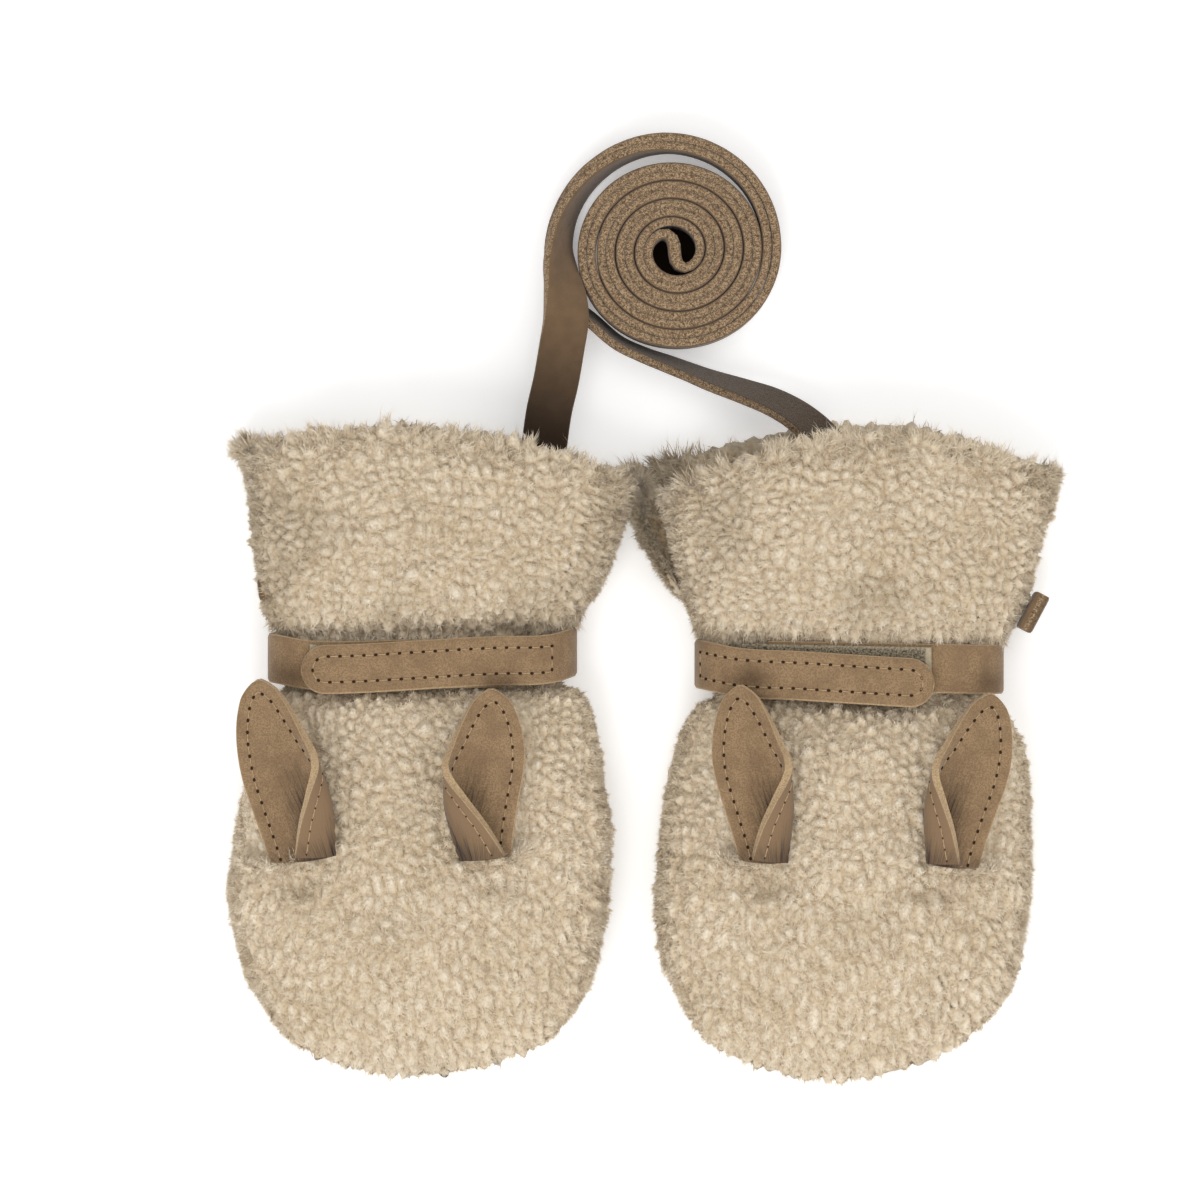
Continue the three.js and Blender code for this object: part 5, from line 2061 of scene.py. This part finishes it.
@dataclass
class Studio:
    """A pale floor, soft light and the camera straight above."""

    frame_width: float = 276.0
    distance: float = 1250.0
    sensor: float = 36.0
    reference: float = 14.0

    def build(self) -> None:
        """Set the studio up."""
        bpy.context.scene.view_settings.view_transform = "Standard"
        self.floor()
        self.lights()
        self.camera()

    def floor(self) -> None:
        """Lay a plain pale floor that glows faintly, with a painted shadow under the coil's heart,
        where it is dark and does not glow.
        """
        bpy.ops.object.select_all(action="DESELECT")
        bpy.ops.mesh.primitive_plane_add(size=6.0, location=(0.0, 0.0, -0.0006))
        floor = bpy.context.active_object
        floor.name = "studio_floor"
        bpy.ops.object.transform_apply(location=True, rotation=True, scale=True)
        board = Board("studio_floor")
        paper = board.colour(board.grain(400.0, 1.0), (0.86, 0.86, 0.86, 1), (0.88, 0.88, 0.88, 1))
        centre = ((COIL_CENTRE[0] + SHIFT[0]) * MM, (COIL_CENTRE[1] + SHIFT[1]) * MM, 0.0)
        away = board.node(
            "ShaderNodeVectorMath", {"operation": "DISTANCE"}, [board.place(), centre], 1)
        # Painted shadow: inside the coil's heart the floor is dark brown and does not glow.
        open_floor = away.between(0.0165, 0.0185)
        tone = board.colour(open_floor, paint(40, 28, 20), paper)
        glow = board.colour(open_floor, (0.0, 0.0, 0.0, 1), (1.0, 1.0, 1.0, 1))
        board.join(board.shader.inputs["Emission Color"], glow)
        floor.data.materials.append(board.finish(
            tone, 0.9, None, {"Specular IOR Level": 0.1, "Emission Strength": 0.28}))

    def lights(self) -> None:
        """Hang soft lights round the mittens, and fill from all sides."""
        world = bpy.data.worlds.new("studio_air")
        world.use_nodes = True
        world.node_tree.nodes["Background"].inputs["Color"].default_value = (1.0, 1.0, 1.0, 1.0)
        world.node_tree.nodes["Background"].inputs["Strength"].default_value = 0.6
        bpy.context.scene.world = world
        for name, place, size, power in (
            ("key_light", (-0.3, -0.8, 1.0), 0.8, 8.0),
            ("fill_light", (0.75, 0.35, 0.9), 1.0, 3.0),
            ("top_light", (0.0, 0.2, 1.35), 1.0, 3.4),
        ):
            lamp = bpy.data.lights.new(name, "AREA")
            lamp.size = size
            lamp.energy = power
            held = bpy.data.objects.new(name, lamp)
            held.location = place
            aim = -held.location
            held.rotation_euler = aim.to_track_quat("-Z", "Y").to_euler()
            bpy.context.scene.collection.objects.link(held)

    def camera(self) -> None:
        """Look straight down from above the middle of the frame."""
        data = bpy.data.cameras.new("camera")
        data.sensor_width = self.sensor
        data.lens = self.sensor * (self.distance - self.reference) / self.frame_width
        data.clip_start = 0.05
        held = bpy.data.objects.new("camera", data)
        held.location = (SHIFT[0] * MM, SHIFT[1] * MM, self.distance * MM)
        bpy.context.scene.collection.objects.link(held)
        bpy.context.scene.camera = held


def mittens() -> tuple[Mitten, Mitten]:
    """Describe the two mittens.

    Returns:
        The left one and the right one.
    """
    left_ears = (
        Ear("left_mitten_left_ear", -69.0, -58.7, 12.0, 14.0, 1, 0.0, 1.0, 1.0, 0.03, 0.0),
        Ear("left_mitten_right_ear", -26.4, -58.0, -2.0, 5.0, -1, 3.4, 1.0, 0.91, 0.28, 1.8),
    )
    right_ears = (
        Ear("right_mitten_left_ear", 35.7, -58.9, 5.0, 8.0, 1, 1.5, 0.955, 0.955, 0.3, 0.3),
        Ear("right_mitten_right_ear", 80.3, -59.8, -12.5, 8.0, -1, 0.0, 0.955, 0.95, 0.22, 1.3),
    )
    left = Mitten(
        "left", LEFT_ROWS, LEFT_ROWS, left_ears, ((-68.5, -66.4), (-22.5, -65.8)),
        Belt("left", -41.0, 1, -12.4, 0.7, -3.05, -27.3, -25.4, 57.4, -2.3,
             ((-70.5, -17.0), (-22.4, -20.3))),
        SideTab("left_side_tab", -78.2, 2.4, 7.0, (1.2, 4.6, 6.0), 1, 1.4), 3,
    )
    right = Mitten(
        "right", RIGHT_CUFF_FRONT + RIGHT_HAND, RIGHT_CUFF_BACK + RIGHT_HAND, right_ears,
        ((38.6, -66.0), (76.0, -67.4)),
        Belt("right", 57.5, -1, -15.35, 0.65, -3.4, -18.9, -18.3, 55.4, 0.0,
             ((34.7, -18.0), (89.5, -18.5))),
        SideTab("right_side_tab", 100.6, -3.2, -28.0, (1.9, 9.2, 8.0), -1, 1.6), 9,
    )
    return left, right


def main() -> None:
    """Build everything in order."""
    logging.basicConfig(level=logging.INFO, format="%(message)s")
    finishes = Finishes.mix()
    for mitten in mittens():
        mitten.build(finishes)
        logging.info("%s mitten done", mitten.side)
    JoiningStrap().build(finishes)
    Studio().build()
    meshes = [piece.data for piece in bpy.data.objects if piece.type == "MESH"]
    total = sum(len(face.vertices) - 2 for mesh in meshes for face in mesh.polygons)
    logging.info("%d triangles in all", total)


if __name__ == "__main__":
    main()
